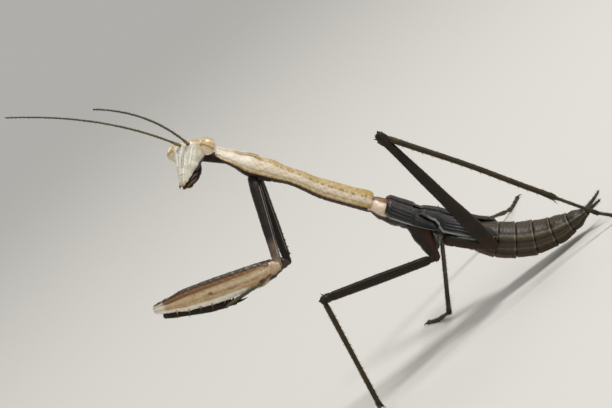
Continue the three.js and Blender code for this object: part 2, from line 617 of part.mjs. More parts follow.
walkingLeg('midleg_left', MIDDLE, WALKING_SHAPES.MIDDLE);
walkingLeg('midleg_right', MIDDLE, WALKING_SHAPES.MIDDLE);
walkingLeg('hindleg_left', HIND, WALKING_SHAPES.HIND);
walkingLeg('hindleg_right', HIND, WALKING_SHAPES.HIND);

// Grasping leg: the femur is a deep blade with spines below, and the spined tibia folds back
// under it. In the blade's frame x runs to the knee and z to its upper edge.
const FORE_COXA = [[0, 0.6, 0.7], [0.12, 0.72, 0.8], [0.5, 0.66, 0.72], [0.9, 0.55, 0.58], [1, 0.5, 0.52]];
const FORE_TROCHANTER = [[0, 0.5, 0.52], [0.5, 0.58, 0.75], [1, 0.58, 1.0, -0.1]];
const BLADE = [[0, 0.55, 1.0, -0.1], [0.05, 0.62, 1.35, -0.2], [0.2, 0.72, 1.72, -0.42],
  [0.5, 0.72, 1.78, -0.42], [0.72, 0.66, 1.6, -0.3], [0.9, 0.52, 1.05, -0.2], [1, 0.42, 0.68, -0.1]];
const FORE_TIBIA = [[0, 0.3, 0.45], [0.15, 0.32, 0.55], [0.75, 0.32, 0.6], [1, 0.27, 0.4]];
const FORE_FOLD = { knee: [-0.9, 0, -1.3], angle: 10.5 };
// The foot's heel, bend and toe in the blade's frame, with y outwards.
const FORE_FOOT = {
  heel: [7.1, 0.88, -2.95],
  bend: [5.3, 1.0, -2.1],
  toe: [1.6, 0.92, -1.6],
  radius: 0.25,
};
const FORE_SPINES = {
  count: 6,
  first: 0.53,
  last: 0.88,
  root: 0.48,
  spread: 0.34,
  drop: 0.75,
  radius: 0.21,
};

/** Spines in two rows along the lower edges of the blade, joined to it. */
function bladeSpines() {
  const spines = [];
  for (const row of [1, -1]) {
    spaced(FORE_SPINES.first, FORE_SPINES.last, FORE_SPINES.count).forEach((t) => {
      const shift = profile(BLADE.map((s) => [s[0], s[3]]), t);
      const half = profile(BLADE.map((s) => [s[0], s[2]]), t);
      const root = vec(t * FORE.femur, row * FORE_SPINES.root, shift - half * 0.6);
      const out = row * (FORE_SPINES.root + FORE_SPINES.spread);
      const tip = vec(root.x + 0.2, out, shift - half - FORE_SPINES.drop);
      spines.push(spike(root, tip, FORE_SPINES.radius));
    });
  }
  return spines;
}

/** Builds the five pieces of a grasping leg. The foot lies on the outer side of the blade. */
function graspingLeg(name, outward) {
  const stance = STANCE[name];
  const base = trunk.localToWorld(vec(...stance.base));
  const down = bearing(...stance.coxa);
  const out = bearing(...stance.femur);
  const elbow = base.clone().addScaledVector(down, FORE.coxa);
  const bladeStart = elbow.clone().addScaledVector(out, FORE.trochanter);
  const side = vec(0, -1, 0);
  const coxaMatrix = alongLimb(base, down, side);
  let coxa = solid(limb(FORE.coxa, FORE_COXA), coxaMatrix);
  coxa = mitre(coxa, elbow, down, out, true);
  coxa = coxa.subtract(FORE_KEEP_OUT).subtract(STERNUM_KEEP_OUT);
  addLegPiece(`${name}_coxa`, coxa, coxaMatrix, CUTICLE_BROWN);
  const elbowMatrix = alongLimb(elbow, out, side);
  let trochanter = solid(limb(FORE.trochanter, FORE_TROCHANTER), elbowMatrix);
  trochanter = mitre(trochanter, elbow, down, out, false);
  trochanter = mitre(trochanter, bladeStart, out, out, true);
  addLegPiece(`${name}_trochanter`, trochanter, elbowMatrix, FORELEG_TAN);
  const matrix = alongLimb(bladeStart, out, side);
  let blade = solid(limb(FORE.femur, BLADE, 12), matrix);
  bladeSpines().forEach((spine) => {
    blade = blade.add(solid(spine, matrix));
  });
  blade = mitre(blade, bladeStart, out, out, false);
  addLegPiece(`${name}_femur`, blade, matrix, FORELEG_TAN);
  const grown = BLADE.map(([t, w, h, shift]) => [t, w + GAP, h + GAP, shift]);
  const bladeKeepOut = solid(limb(FORE.femur, grown, 12), matrix);
  const knee = vec(FORE.femur, 0, 0).add(vec(...FORE_FOLD.knee));
  const fold = vec(-Math.cos(radians(FORE_FOLD.angle)), 0, -Math.sin(radians(FORE_FOLD.angle)));
  const shinMatrix = matrix.clone().multiply(alongLimb(knee, fold, vec(0, 1, 0)));
  let tibia = solid(limb(FORE.tibia, FORE_TIBIA), shinMatrix);
  const claw = spike(vec(FORE.tibia * 0.98, 0, 0), vec(FORE.tibia + FORE.claw, 0, -0.35), 0.27);
  tibia = tibia.add(solid(claw, shinMatrix)).subtract(bladeKeepOut);
  addLegPiece(`${name}_tibia`, tibia, shinMatrix, CUTICLE_BROWN);
  const outside = ([x, y, z]) => vec(x, outward * y, z);
  const knots = [FORE_FOOT.heel, FORE_FOOT.bend, FORE_FOOT.toe].map(outside);
  const foot = new THREE.QuadraticBezierCurve3(...knots).getSpacedPoints(7);
  const tarsus = solid(tube(foot, foot.map(() => FORE_FOOT.radius), 6), matrix);
  addLegPiece(`${name}_tarsus`, tarsus.subtract(bladeKeepOut), matrix, CUTICLE_OLIVE);
}

graspingLeg('foreleg_left', 1);
graspingLeg('foreleg_right', -1);

// ---------------------------------------------------------------- origin
// The origin is under the middle of the model's box, on the floor.
mantis.updateMatrixWorld(true);
const extent = new THREE.Box3().setFromObject(mantis, true);
mantis.position.set(-(extent.min.x + extent.max.x) / 2, -(extent.min.y + extent.max.y) / 2, 0);

export default mantis;
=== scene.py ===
"""The looks of a praying mantis nymph that stands with its forelegs folded.

Every piece is made in millimetres, in the axes of the body part that carries it and from the
same driving dimensions as the CAD solids, and is then set down in the row frame in metres.
"""

import logging
import math
from dataclasses import dataclass
from enum import Enum
from typing import Any, Optional, Sequence

import bmesh
import bpy
import numpy as np
from mathutils import Matrix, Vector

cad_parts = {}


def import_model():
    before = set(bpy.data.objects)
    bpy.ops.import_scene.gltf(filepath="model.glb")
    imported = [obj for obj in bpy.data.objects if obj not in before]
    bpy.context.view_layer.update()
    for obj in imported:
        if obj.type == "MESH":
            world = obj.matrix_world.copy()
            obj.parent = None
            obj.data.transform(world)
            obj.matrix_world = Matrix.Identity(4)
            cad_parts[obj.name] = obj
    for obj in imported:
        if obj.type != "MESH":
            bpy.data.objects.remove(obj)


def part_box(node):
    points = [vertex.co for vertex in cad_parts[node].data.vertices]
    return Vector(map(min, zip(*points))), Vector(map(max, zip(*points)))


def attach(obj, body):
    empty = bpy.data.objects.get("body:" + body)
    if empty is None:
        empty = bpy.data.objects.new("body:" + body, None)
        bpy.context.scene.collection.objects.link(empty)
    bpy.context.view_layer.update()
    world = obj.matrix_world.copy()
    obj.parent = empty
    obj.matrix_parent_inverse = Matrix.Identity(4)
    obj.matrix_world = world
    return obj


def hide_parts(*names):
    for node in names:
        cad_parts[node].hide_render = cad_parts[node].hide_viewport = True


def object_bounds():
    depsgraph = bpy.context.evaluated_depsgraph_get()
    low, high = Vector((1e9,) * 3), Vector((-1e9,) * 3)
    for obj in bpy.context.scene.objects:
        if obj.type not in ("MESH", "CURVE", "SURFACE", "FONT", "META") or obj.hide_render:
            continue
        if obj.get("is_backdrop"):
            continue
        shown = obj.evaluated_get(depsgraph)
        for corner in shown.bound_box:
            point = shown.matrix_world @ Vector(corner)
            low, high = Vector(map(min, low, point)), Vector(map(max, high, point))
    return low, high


LOG = logging.getLogger("mantis")
MM = 0.001
Array = np.ndarray
Pairs = Sequence[Sequence[float]]
UP = np.array([0.0, 0.0, 1.0])


class Side(Enum):
    """The animal's two sides, as the sign of y in its own axes."""

    LEFT = 1
    RIGHT = -1

    @property
    def word(self) -> str:
        """The side as it stands in the names of pieces."""
        return self.name.lower()


# ---------------------------------------------------------------- numbers and directions
def unit(vector: Sequence[float]) -> Array:
    """The vector at length 1."""
    made = np.asarray(vector, float)
    return made / np.linalg.norm(made)


def bearing(azimuth: float, elevation: float) -> Array:
    """Unit vector for an azimuth and an elevation in degrees."""
    a, e = math.radians(azimuth), math.radians(elevation)
    return np.array([math.cos(e) * math.cos(a), math.cos(e) * math.sin(a), math.sin(e)])


def attitude(heading: float, pitch: float, roll: float) -> Array:
    """Axes of a body that faces one way.

    Args:
        heading: Azimuth of its forward axis in degrees.
        pitch: Elevation of its forward axis in degrees.
        roll: Turn about that axis in degrees, with the left side going down.

    Returns:
        A 3 x 3 array whose columns are the forward, left and back axes.
    """
    forward = bearing(heading, pitch)
    level = unit(np.cross(UP, forward))
    upright = np.cross(forward, level)
    r = math.radians(roll)
    left = level * math.cos(r) - upright * math.sin(r)
    return np.column_stack([forward, left, np.cross(forward, left)])


def eased(pairs: Pairs, x: Any) -> Any:
    """Value at x through [x, value] pairs, eased between them.

    Args:
        pairs: Knots in rising x.
        x: A number or an array.

    Returns:
        The value, in the shape of x.
    """
    knots = np.array([p[0] for p in pairs], float)
    values = np.array([p[1] for p in pairs], float)
    x = np.clip(x, knots[0], knots[-1])
    i = np.clip(np.searchsorted(knots, x, side="right") - 1, 0, len(knots) - 2)
    t = (x - knots[i]) / (knots[i + 1] - knots[i])
    return values[i] + (values[i + 1] - values[i]) * t * t * (3 - 2 * t)


def hump(x: Any, centre: Any, width: Any) -> Any:
    """Bell curve of height 1 round a centre."""
    return np.exp(-(((x - centre) / width) ** 2))


def beyond(x: Any, edge: Any, soft: Any) -> Any:
    """0 below an edge and 1 above it, eased over twice the soft width."""
    t = np.clip((x - edge) / (2 * soft) + 0.5, 0, 1)
    return t * t * (3 - 2 * t)


def between(x: Any, low: Any, high: Any, soft: Any) -> Any:
    """1 between two edges and 0 outside them, eased at both."""
    return beyond(x, low, soft) * (1 - beyond(x, high, soft))


def ripple(x: Any, y: Any, seed: float) -> Any:
    """Slow irregular waves between about -1 and 1, for dashes and lumps."""
    return (
        np.sin(2.1 * x + 1.7 * y + seed)
        + np.sin(3.7 * x - 2.3 * y + 2.6 * seed)
        + np.sin(6.1 * x + 3.1 * y + 4.1 * seed)
    ) / 3


@dataclass(frozen=True)
class Place:
    """Where a body part sits: its axes as columns, and its origin in millimetres."""

    axes: Array
    origin: Array

    def points(self, local: Any) -> Array:
        """Points given in this place's axes, in the axes outside it."""
        return np.asarray(local, float) @ self.axes.T + self.origin

    def inner(self, axes: Array, origin: Sequence[float]) -> "Place":
        """A place given in this place's axes."""
        return Place(self.axes @ axes, self.points(origin))


FLOOR_AXES = Place(np.eye(3), np.zeros(3))


def lay_along(start: Array, direction: Array, side_hint: Array) -> Place:
    """Place of a limb that runs along +x from a point.

    Args:
        start: Where the limb begins.
        direction: Unit vector down the limb.
        side_hint: A vector near its +y.

    Returns:
        The limb's place.
    """
    side = unit(side_hint - direction * np.dot(side_hint, direction))
    return Place(np.column_stack([direction, side, np.cross(direction, side)]), start)


# ---------------------------------------------------------------- surfaces
@dataclass
class Surface:
    """A grid of points in millimetres, closed round its columns.

    share runs from 0 to 1 down the rows, angle is the place round each ring in radians, lay
    holds pattern coordinates in millimetres and marks how dark, pale and warm each point is.
    """

    points: Array
    lay: Array
    share: Array
    angle: Array
    marks: Optional[Array] = None

    def __post_init__(self) -> None:
        """Starts with no marks."""
        if self.marks is None:
            self.marks = np.zeros_like(self.points)

    def normals(self) -> Array:
        """Unit vectors out of the surface."""
        around = np.roll(self.points, -1, 1) - np.roll(self.points, 1, 1)
        normal = np.cross(np.gradient(self.points, axis=0), around)
        normal /= np.maximum(np.linalg.norm(normal, axis=2, keepdims=True), 1e-9)
        outward = ((self.points - self.points.mean(1, keepdims=True)) * normal).sum()
        return normal if outward > 0 else -normal

    def swell(self, amount: Array) -> "Surface":
        """Moves each point out by an amount in millimetres."""
        self.points = self.points + self.normals() * amount[..., None]
        return self

    def mark(self, dark: Any = 0.0, pale: Any = 0.0, warm: Any = 0.0) -> "Surface":
        """Adds to the three marks, from 0 to 1."""
        for i, amount in enumerate((dark, pale, warm)):
            self.marks[..., i] = np.clip(self.marks[..., i] + amount, 0, 1)
        return self


CAP_DEGREES = (84.0, 66.0, 46.0, 24.0)


def limb(
    length: float,
    stations: Sequence[Sequence[float]],
    columns: int = 32,
    step: float = 0.2,
    square: float = 2.0,
) -> Surface:
    """Limb along +x with round ends.

    Args:
        length: Length between its joints.
        stations: [fraction, half-width in y, half-height in z, shift in z] along it.
        columns: Points round each ring.
        step: Distance between rings.
        square: Power of the section, 2 for an oval and more for a boxy one.

    Returns:
        The limb's surface.
    """
    tables = [[(s[0], s[k] if k < len(s) else 0.0) for s in stations] for k in (1, 2, 3)]
    x = np.linspace(0, length, max(int(length / step), 6))
    width, height, shift = (eased(table, x / length) for table in tables)
    starts, ends = [], []
    for degrees in CAP_DEGREES:
        s, c = math.sin(math.radians(degrees)), math.cos(math.radians(degrees))
        starts.append((-min(width[0], height[0]) * s, width[0] * c, height[0] * c, shift[0]))
        ends.append((length + min(width[-1], height[-1]) * s, width[-1] * c, height[-1] * c, shift[-1]))
    rows = np.array([*starts, *zip(x, width, height, shift), *reversed(ends)])
    angle = np.tile(np.linspace(0, 2 * math.pi, columns, endpoint=False), (len(rows), 1))
    power = 2 / square
    across = np.sign(np.cos(angle)) * np.abs(np.cos(angle)) ** power
    upward = np.sign(np.sin(angle)) * np.abs(np.sin(angle)) ** power
    x, width, height, shift = (rows[:, k : k + 1] for k in range(4))
    points = np.stack([x + 0 * angle, width * across, shift + height * upward], axis=2)
    return Surface(points, points.copy(), np.clip(x / length, 0, 1) + 0 * angle, angle)


def tube(points: Array, radii: Array, columns: int = 12, flat: float = 1.0) -> Surface:
    """Tube with round ends through points in space.

    Args:
        points: The centre line.
        radii: Half-thickness at each point.
        columns: Points round each ring.
        flat: Height of the section over its width.

    Returns:
        The tube's surface, with lay running down it.
    """
    points, radii = np.asarray(points, float), np.asarray(radii, float)
    tangents = np.gradient(points, axis=0)
    tangents /= np.linalg.norm(tangents, axis=1, keepdims=True)
    rows = [(points[0] - tangents[0] * radii[0] * math.sin(math.radians(d)),
             tangents[0], radii[0] * math.cos(math.radians(d))) for d in CAP_DEGREES]
    rows += list(zip(points, tangents, radii))
    rows += [(points[-1] + tangents[-1] * radii[-1] * math.sin(math.radians(d)),
              tangents[-1], radii[-1] * math.cos(math.radians(d))) for d in reversed(CAP_DEGREES)]
    hint = UP if abs(tangents[0][2]) < 0.9 else np.array([1.0, 0, 0])
    side = unit(np.cross(tangents[0], hint))
    angle = np.linspace(0, 2 * math.pi, columns, endpoint=False)
    rings, lays, run, last = [], [], 0.0, rows[0][0]
    for centre, tangent, radius in rows:
        side = unit(side - tangent * np.dot(side, tangent))
        top = np.cross(tangent, side)
        run += float(np.linalg.norm(centre - last))
        last = centre
        across, upward = radius * np.cos(angle), radius * np.sin(angle)
        rings.append(centre + np.outer(across, side) + np.outer(upward * flat, top))
        lays.append(np.column_stack([np.full(columns, run), across, upward]))
    lay = np.array(lays)
    share = lay[..., 0] / max(run, 1e-9)
    return Surface(np.array(rings), lay, share, np.tile(angle, (len(rings), 1)))


def keels(angle: Array, degrees: Sequence[float], width: float, height: float) -> Array:
    """Height of sharp lengthwise ridges at some angles round a limb.

    Args:
        angle: Angle of each point in radians.
        degrees: Where the ridges stand.
        width: Half-width of each in radians.
        height: Height of each in millimetres.

    Returns:
        The height at each point.
    """
    total = np.zeros_like(angle)
    for d in degrees:
        off = np.angle(np.exp(1j * (angle - math.radians(d))))
        total = total + height * hump(off, 0, width)
    return total


class Skin:
    """Gathers surfaces, thorns and bristles into the mesh of one piece."""

    def __init__(self, place: Place) -> None:
        """Starts an empty mesh in a body part's axes."""
        self.place = place
        self.points: list[Array] = []
        self.lays: list[Array] = []
        self.marks: list[Array] = []
        self.faces: list[list[int]] = []
        self.count = 0

    def _keep(self, points: Array, lay: Array, marks: Array) -> int:
        """Stores points and returns the number of the first."""
        start = self.count
        self.points.append(points.reshape(-1, 3))
        self.lays.append(lay.reshape(-1, 3))
        self.marks.append(marks.reshape(-1, 3))
        self.count += len(self.points[-1])
        return start

    def add(self, surface: Surface) -> "Skin":
        """Adds a surface, closed at both ends."""
        rows, columns = surface.points.shape[:2]
        start = self._keep(surface.points, surface.lay, surface.marks)
        numbers = start + np.arange(rows * columns).reshape(rows, columns)
        after = np.roll(numbers, -1, 1)
        quads = np.stack([numbers[:-1], after[:-1], after[1:], numbers[1:]], axis=2)
        self.faces += quads.reshape(-1, 4).tolist()
        for row in (0, rows - 1):
            middle = self._keep(
                surface.points[row].mean(0), surface.lay[row].mean(0), surface.marks[row].mean(0)
            )
            ring, following = numbers[row], after[row]
            self.faces += [[int(a), int(b), middle] for a, b in zip(ring, following)]
        return self

    def thorn(
        self,
        root: Sequence[float],
        tip: Sequence[float],
        radius: float,
        bend: Sequence[float] = (0, 0, 0),
        marks: Sequence[float] = (0.9, 0, 0),
    ) -> "Skin":
        """Adds a tapering spine that is rooted in what carries it.

        Args:
            root: Where it leaves the surface.
            tip: Its point.
            radius: Half-thickness at the root.
            bend: How far its middle is pushed aside.
            marks: How dark, pale and warm its outer half is.

        Returns:
            This skin.
        """
        t = np.linspace(0, 1, 7)[:, None]
        line = np.asarray(root, float) * (1 - t) + np.asarray(tip, float) * t
        line = line + np.asarray(bend, float) * 4 * t * (1 - t)
        made = tube(line, radius * (1 - 0.88 * t[:, 0] ** 1.2), columns=8)
        dark, pale, warm = (m * beyond(made.share, 0.35, 0.25) for m in marks)
        return self.add(made.mark(dark, pale, warm))

    def bristles(
        self,
        surface: Surface,
        count: int,
        length: float,
        seed: int,
        lean: float = 0.8,
        low: float = 0.0,
        high: float = 1.0,
    ) -> "Skin":
        """Adds fine stiff hairs that lean down the limb.

        Args:
            surface: What they grow from.
            count: How many.
            length: Their mean length.
            seed: Seed of their places.
            lean: How far they lean, as a tangent.
            low: Share down the surface where they begin.
            high: Share down the surface where they end.

        Returns:
            This skin.
        """
        draw = np.random.default_rng(seed)
        share = surface.share[:, 0]
        rows = np.flatnonzero((share >= low) & (share <= high))[1:-1]
        r, c = draw.choice(rows, count), draw.integers(0, surface.points.shape[1], count)
        out = surface.normals()[r, c]
        down = np.gradient(surface.points, axis=0)[r, c]
        down /= np.maximum(np.linalg.norm(down, axis=1, keepdims=True), 1e-9)
        aim = out + down * lean * draw.uniform(0.6, 1.3, (count, 1))
        aim /= np.linalg.norm(aim, axis=1, keepdims=True)
        root = surface.points[r, c]
        side = np.cross(aim, down + 0.01)
        side /= np.linalg.norm(side, axis=1, keepdims=True)
        top = np.cross(aim, side)
        thick = BRISTLE_RADIUS
        tip = root + aim * length * draw.uniform(0.6, 1.25, (count, 1))
        foot = root - out * thick
        ring = [foot + thick * (math.cos(a) * side + math.sin(a) * top) for a in (0, 2.094, 4.189)]
        points = np.stack([*ring, tip], axis=1)
        lay = np.repeat(surface.lay[r, c][:, None], 4, axis=1)
        marks = np.repeat(surface.marks[r, c][:, None], 4, axis=1)
        start = self._keep(points, lay, marks)
        for k in range(start, start + 4 * count, 4):
            self.faces += [[k, k + 1, k + 3], [k + 1, k + 2, k + 3], [k + 2, k, k + 3], [k, k + 2, k + 1]]
        return self

    def piece(self, name: str, finish: Any, nodes: Sequence[str], slot: str,
        crease: float = 60) -> bpy.types.Object:
        """Makes the mesh object, dresses it and lets it stand for its CAD nodes.

        Args:
            name: Name of the piece.
            finish: The finish that dresses it.
            nodes: CAD nodes it stands for.
            slot: Name of a material slot; not used.
            crease: Angle in degrees beyond which an edge stays sharp.

        Returns:
            The object, riding on the one body.
        """
        mesh = bpy.data.meshes.new(name)
        where = self.place.points(np.concatenate(self.points))
        where[:, 2] = np.maximum(where[:, 2], 0)
        mesh.from_pydata((where * MM).tolist(), [], self.faces)
        for label, values in (("lay", self.lays), ("marks", self.marks)):
            attribute = mesh.attributes.new(label, "FLOAT_VECTOR", "POINT")
            attribute.data.foreach_set("vector", np.concatenate(values).astype(np.float32).ravel())
        solid = bmesh.new()
        solid.from_mesh(mesh)
        bmesh.ops.recalc_face_normals(solid, faces=solid.faces)
        solid.to_mesh(mesh)
        solid.free()
        mesh.shade_smooth()
        mesh.set_sharp_from_angle(angle=math.radians(crease))
        mesh.materials.append(finish.material())
        made = bpy.data.objects.new(name, mesh)
        bpy.context.scene.collection.objects.link(made)
        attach(made, "root")
        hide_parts(*nodes)
        LOG.info("%s: %d faces", name, len(mesh.polygons))
        return made


BRISTLE_RADIUS = 0.022


# ---------------------------------------------------------------- finishes
def linear(colour: str) -> tuple[float, float, float, float]:
    """An sRGB hex colour as the linear values that a shader takes."""
    channels = [int(colour[i : i + 2], 16) / 255 for i in (0, 2, 4)]
    straight = [c / 12.92 if c <= 0.04045 else ((c + 0.055) / 1.055) ** 2.4 for c in channels]
    return (*straight, 1.0)


def add_node(
    tree: bpy.types.NodeTree, kind: str, inputs: Optional[dict[Any, Any]] = None, **settings: Any
) -> Sequence[bpy.types.NodeSocket]:
    """Adds a node to a material.

    Args:
        tree: The material's node tree.
        kind: Blender's name for the node.
        inputs: Values and links for its sockets, by name or number.
        settings: Its other settings.

    Returns:
        The node's outputs.
    """
    node = tree.nodes.new(kind)
    for name, value in settings.items():
        setattr(node, name, value)
    for key, value in (inputs or {}).items():
        if isinstance(value, bpy.types.NodeSocket):
            tree.links.new(value, node.inputs[key])
        else:
            node.inputs[key].default_value = value
    return node.outputs


@dataclass(frozen=True)
class Cuticle:
    """Insect cuticle: layered chitin, tanned hard, with a thin wax coat and lying pigment.

    The wax gives a broad soft gloss, the pigment lies in clouds and freckles under it, and the
    pits and lengthwise striae of the outer layer break the light up.
    """

    name: str
    base: str
    cloud: str
    dark: str
    pale: str
    warm: str
    cloud_mm: float = 1.1
    freckle: float = 0.35
    ragged: float = 0.5
    roughness: float = 0.42
    wax: float = 0.15
    gloss: float = 0.4
    pit_mm: float = 0.22
    relief_mm: float = 0.03
    striae: float = 0.5
    flesh: float = 0.0

    def material(self) -> bpy.types.Material:
        """The finish as a material, made once."""
        found = bpy.data.materials.get(self.name)
        if found:
            return found
        made = bpy.data.materials.new(self.name)
        made.use_nodes = True
        tree = made.node_tree
        tree.nodes.clear()
        lay = add_node(tree, "ShaderNodeAttribute", attribute_name="lay")["Vector"]
        marks = add_node(tree, "ShaderNodeAttribute", attribute_name="marks")["Vector"]
        masks = add_node(tree, "ShaderNodeSeparateXYZ", {0: marks})
        noise = "ShaderNodeTexNoise"
        cloud = add_node(tree, noise, {"Vector": lay, "Scale": 1 / self.cloud_mm, "Detail": 5.0,
            "Roughness": 0.62})
        grain = add_node(tree, noise, {"Vector": lay, "Scale": 1 / 0.32, "Detail": 3.0, "Roughness": 0.6})
        drawn = add_node(tree, "ShaderNodeVectorMath", {0: lay, 1: (0.16, 1.0, 1.0)}, operation="MULTIPLY")
        stria = add_node(tree, noise, {"Vector": drawn[0], "Scale": 1 / 0.24, "Detail": 3.0,
            "Roughness": 0.6})
        tint = self._tint(tree, cloud[0], grain[0], stria[0], masks)
        pits = add_node(tree, "ShaderNodeTexVoronoi", {"Vector": lay, "Scale": 1 / self.pit_mm},
            feature="SMOOTH_F1")
        rough = add_node(tree, "ShaderNodeMapRange",
                         {0: grain[0], 1: 0.3, 2: 0.7, 3: self.roughness - 0.08, 4: self.roughness + 0.1})
        lengthwise = add_node(tree, "ShaderNodeMath", {0: stria[0], 1: self.striae}, operation="MULTIPLY")
        height = add_node(tree, "ShaderNodeMath", {0: pits[0], 1: 0.6, 2: lengthwise[0]},
            operation="MULTIPLY_ADD")
        bump = add_node(tree, "ShaderNodeBump",
            {"Height": height[0], "Distance": self.relief_mm * MM, "Strength": 1.0})
        shader = add_node(tree, "ShaderNodeBsdfPrincipled", {
            "Base Color": tint, "Roughness": rough[0], "IOR": 1.55, "Normal": bump[0],
            "Specular IOR Level": self.gloss, "Coat Weight": self.wax, "Coat Roughness": 0.28,
            "Coat IOR": 1.45,
            "Subsurface Weight": self.flesh, "Subsurface Radius": (1.0, 0.5, 0.3),
            "Subsurface Scale": 0.4 * MM,
        })
        add_node(tree, "ShaderNodeOutputMaterial", {"Surface": shader[0]})
        return made

    def _tint(self, tree: bpy.types.NodeTree, cloud: Any, grain: Any, stria: Any, masks: Any) -> Any:
        """Colour of the cuticle.

        Args:
            tree: The material's node tree.
            cloud: Broad noise.
            grain: Fine noise.
            stria: Noise drawn out down the limb.
            masks: The dark, pale and warm marks.

        Returns:
            The colour socket.
        """
        mist = add_node(tree, "ShaderNodeMapRange", {0: cloud, 1: 0.38, 2: 0.64})
        tint = add_node(tree, "ShaderNodeMix", {0: mist[0], 6: linear(self.base), 7: linear(self.cloud)},
            data_type="RGBA")[2]
        streak = add_node(tree, "ShaderNodeMapRange", {0: stria, 1: 0.52, 2: 0.72, 4: 0.5})
        tint = add_node(tree, "ShaderNodeMix", {0: streak[0], 6: tint, 7: linear(self.warm)},
            data_type="RGBA")[2]
        jitter = add_node(tree, "ShaderNodeMath", {0: grain, 1: self.ragged, 2: -0.5 * self.ragged},
            operation="MULTIPLY_ADD")
        for index, colour in ((2, self.warm), (1, self.pale), (0, self.dark)):
            torn = add_node(tree, "ShaderNodeMath", {0: masks[index], 1: jitter[0]}, operation="ADD")
            cover = add_node(tree, "ShaderNodeMapRange", {0: torn[0], 1: 0.22, 2: 0.85})
            tint = add_node(tree, "ShaderNodeMix", {0: cover[0], 6: tint, 7: linear(colour)},
                data_type="RGBA")[2]
        spot = add_node(tree, "ShaderNodeMapRange", {0: grain, 1: 0.6, 2: 0.72, 4: self.freckle})
        return add_node(tree, "ShaderNodeMix", {0: spot[0], 6: tint, 7: linear(self.dark)},
            data_type="RGBA")[2]


@dataclass(frozen=True)
class CompoundEye:
    """Compound eye: thousands of clear lenses over banded pigment.

    The lenses give one bright glint on a finely pebbled dome, and the pigment shows as soft
    bands. A real lens is 0.03 mm across, so they are drawn three times too coarse to show.
    """

    name: str = "eye_lenses"
    base: str = "d3b887"
    band: str = "a57b4b"
    dark: str = "6d4c2b"
    pale: str = "f0e2c2"
    lens_mm: float = 0.1
    band_mm: float = 0.62

    def material(self) -> bpy.types.Material:
        """The finish as a material, made once."""
        found = bpy.data.materials.get(self.name)
        if found:
            return found
        made = bpy.data.materials.new(self.name)
        made.use_nodes = True
        tree = made.node_tree
        tree.nodes.clear()
        lay = add_node(tree, "ShaderNodeAttribute", attribute_name="lay")["Vector"]
        marks = add_node(tree, "ShaderNodeAttribute", attribute_name="marks")["Vector"]
        masks = add_node(tree, "ShaderNodeSeparateXYZ", {0: marks})
        wave = add_node(tree, "ShaderNodeTexWave", {
            "Vector": lay, "Scale": 1 / (3.14 * self.band_mm), "Distortion": 1.6, "Detail": 2.0,
            "Detail Scale": 1.2,
        }, wave_type="BANDS", bands_direction="Z")
        share = add_node(tree, "ShaderNodeMapRange", {0: wave[1], 1: 0.55, 2: 0.95, 4: 0.75})
        tint = add_node(tree, "ShaderNodeMix", {0: share[0], 6: linear(self.base), 7: linear(self.band)},
            data_type="RGBA")[2]
        for index, colour in ((1, self.pale), (0, self.dark)):
            tint = add_node(tree, "ShaderNodeMix", {0: masks[index], 6: tint, 7: linear(colour)},
                data_type="RGBA")[2]
        lens = add_node(tree, "ShaderNodeTexVoronoi", {"Vector": lay, "Scale": 1 / self.lens_mm},
            feature="F1")
        seam = add_node(tree, "ShaderNodeMapRange", {0: lens[0], 1: 0.35, 2: 0.75, 4: 0.35})
        tint = add_node(tree, "ShaderNodeMix", {0: seam[0], 6: tint, 7: linear(self.dark)},
            data_type="RGBA")[2]
        bump = add_node(tree, "ShaderNodeBump", {"Height": lens[0], "Distance": 0.02 * MM, "Strength": 0.7},
            invert=True)
        shader = add_node(tree, "ShaderNodeBsdfPrincipled", {
            "Base Color": tint, "Roughness": 0.3, "IOR": 1.5, "Normal": bump[0],
            "Coat Weight": 0.9, "Coat Roughness": 0.08, "Coat IOR": 1.5,
            "Subsurface Weight": 0.15, "Subsurface Radius": (1.0, 0.6, 0.3), "Subsurface Scale": 0.5 * MM,
        })
        add_node(tree, "ShaderNodeOutputMaterial", {"Surface": shader[0]})
        return made


# Pale plate: cream wax over tan, with gold edges and brown freckles.
PRONOTUM_CUTICLE = Cuticle("pronotum_cuticle", "c9b795", "af9769", "4f3a20", "d8cebd", "a88c50",
                           cloud_mm=0.8, roughness=0.46, wax=0.1, gloss=0.3, freckle=0.45, flesh=0.06)
# Face plate: greenish white, thin enough for a little light to pass.
FACE_CUTICLE = Cuticle("face_cuticle", "d3d0c1", "c3bfae", "2a1b11", "e8e6dc", "b99a6a",
                       cloud_mm=0.9, freckle=0.12, roughness=0.4, wax=0.2, flesh=0.1)
# Cuticle of the walking legs: brown, darkened to near black as painted shade, with olive and red-brown
# showing.
LEG_CUTICLE = Cuticle("leg_cuticle", "181009", "231a0d", "0a0604", "574c3a", "351a0c",
                      cloud_mm=1.6, roughness=0.42, wax=0.0, gloss=0.2, striae=0.9)
# Thinner, olive-brown cuticle of shins, feet and feelers; on shins and feet it is darkened as painted shade.
SHIN_CUTICLE = Cuticle("shin_cuticle", "2c2414", "3a3019", "130d07", "6d6040", "3c2412",
                       cloud_mm=1.4, roughness=0.46, wax=0.0, gloss=0.2, striae=0.9)
FEELER_CUTICLE = Cuticle("feeler_cuticle", "4b4531", "5b523a", "221d15", "948653", "66543a",
                         cloud_mm=2.0, roughness=0.5, wax=0.0, gloss=0.2)
# Underside of the trunk: red-brown plates on brown membrane, darkened to near black as painted shade.
STERNUM_CUTICLE = Cuticle("sternum_cuticle", "23140b", "331f11", "100906", "6c5537", "5a3218",
                          roughness=0.42, wax=0.03, gloss=0.2)
# Front and sides of the winged part of the thorax: brown, with pinkish cream painted sunlight above and
# near-black painted shade below and behind.
THORAX_CUTICLE = Cuticle("thorax_cuticle", "5f4429", "735536", "1d120b", "dcc6ae", "c09b50",
                         roughness=0.44, wax=0.15)
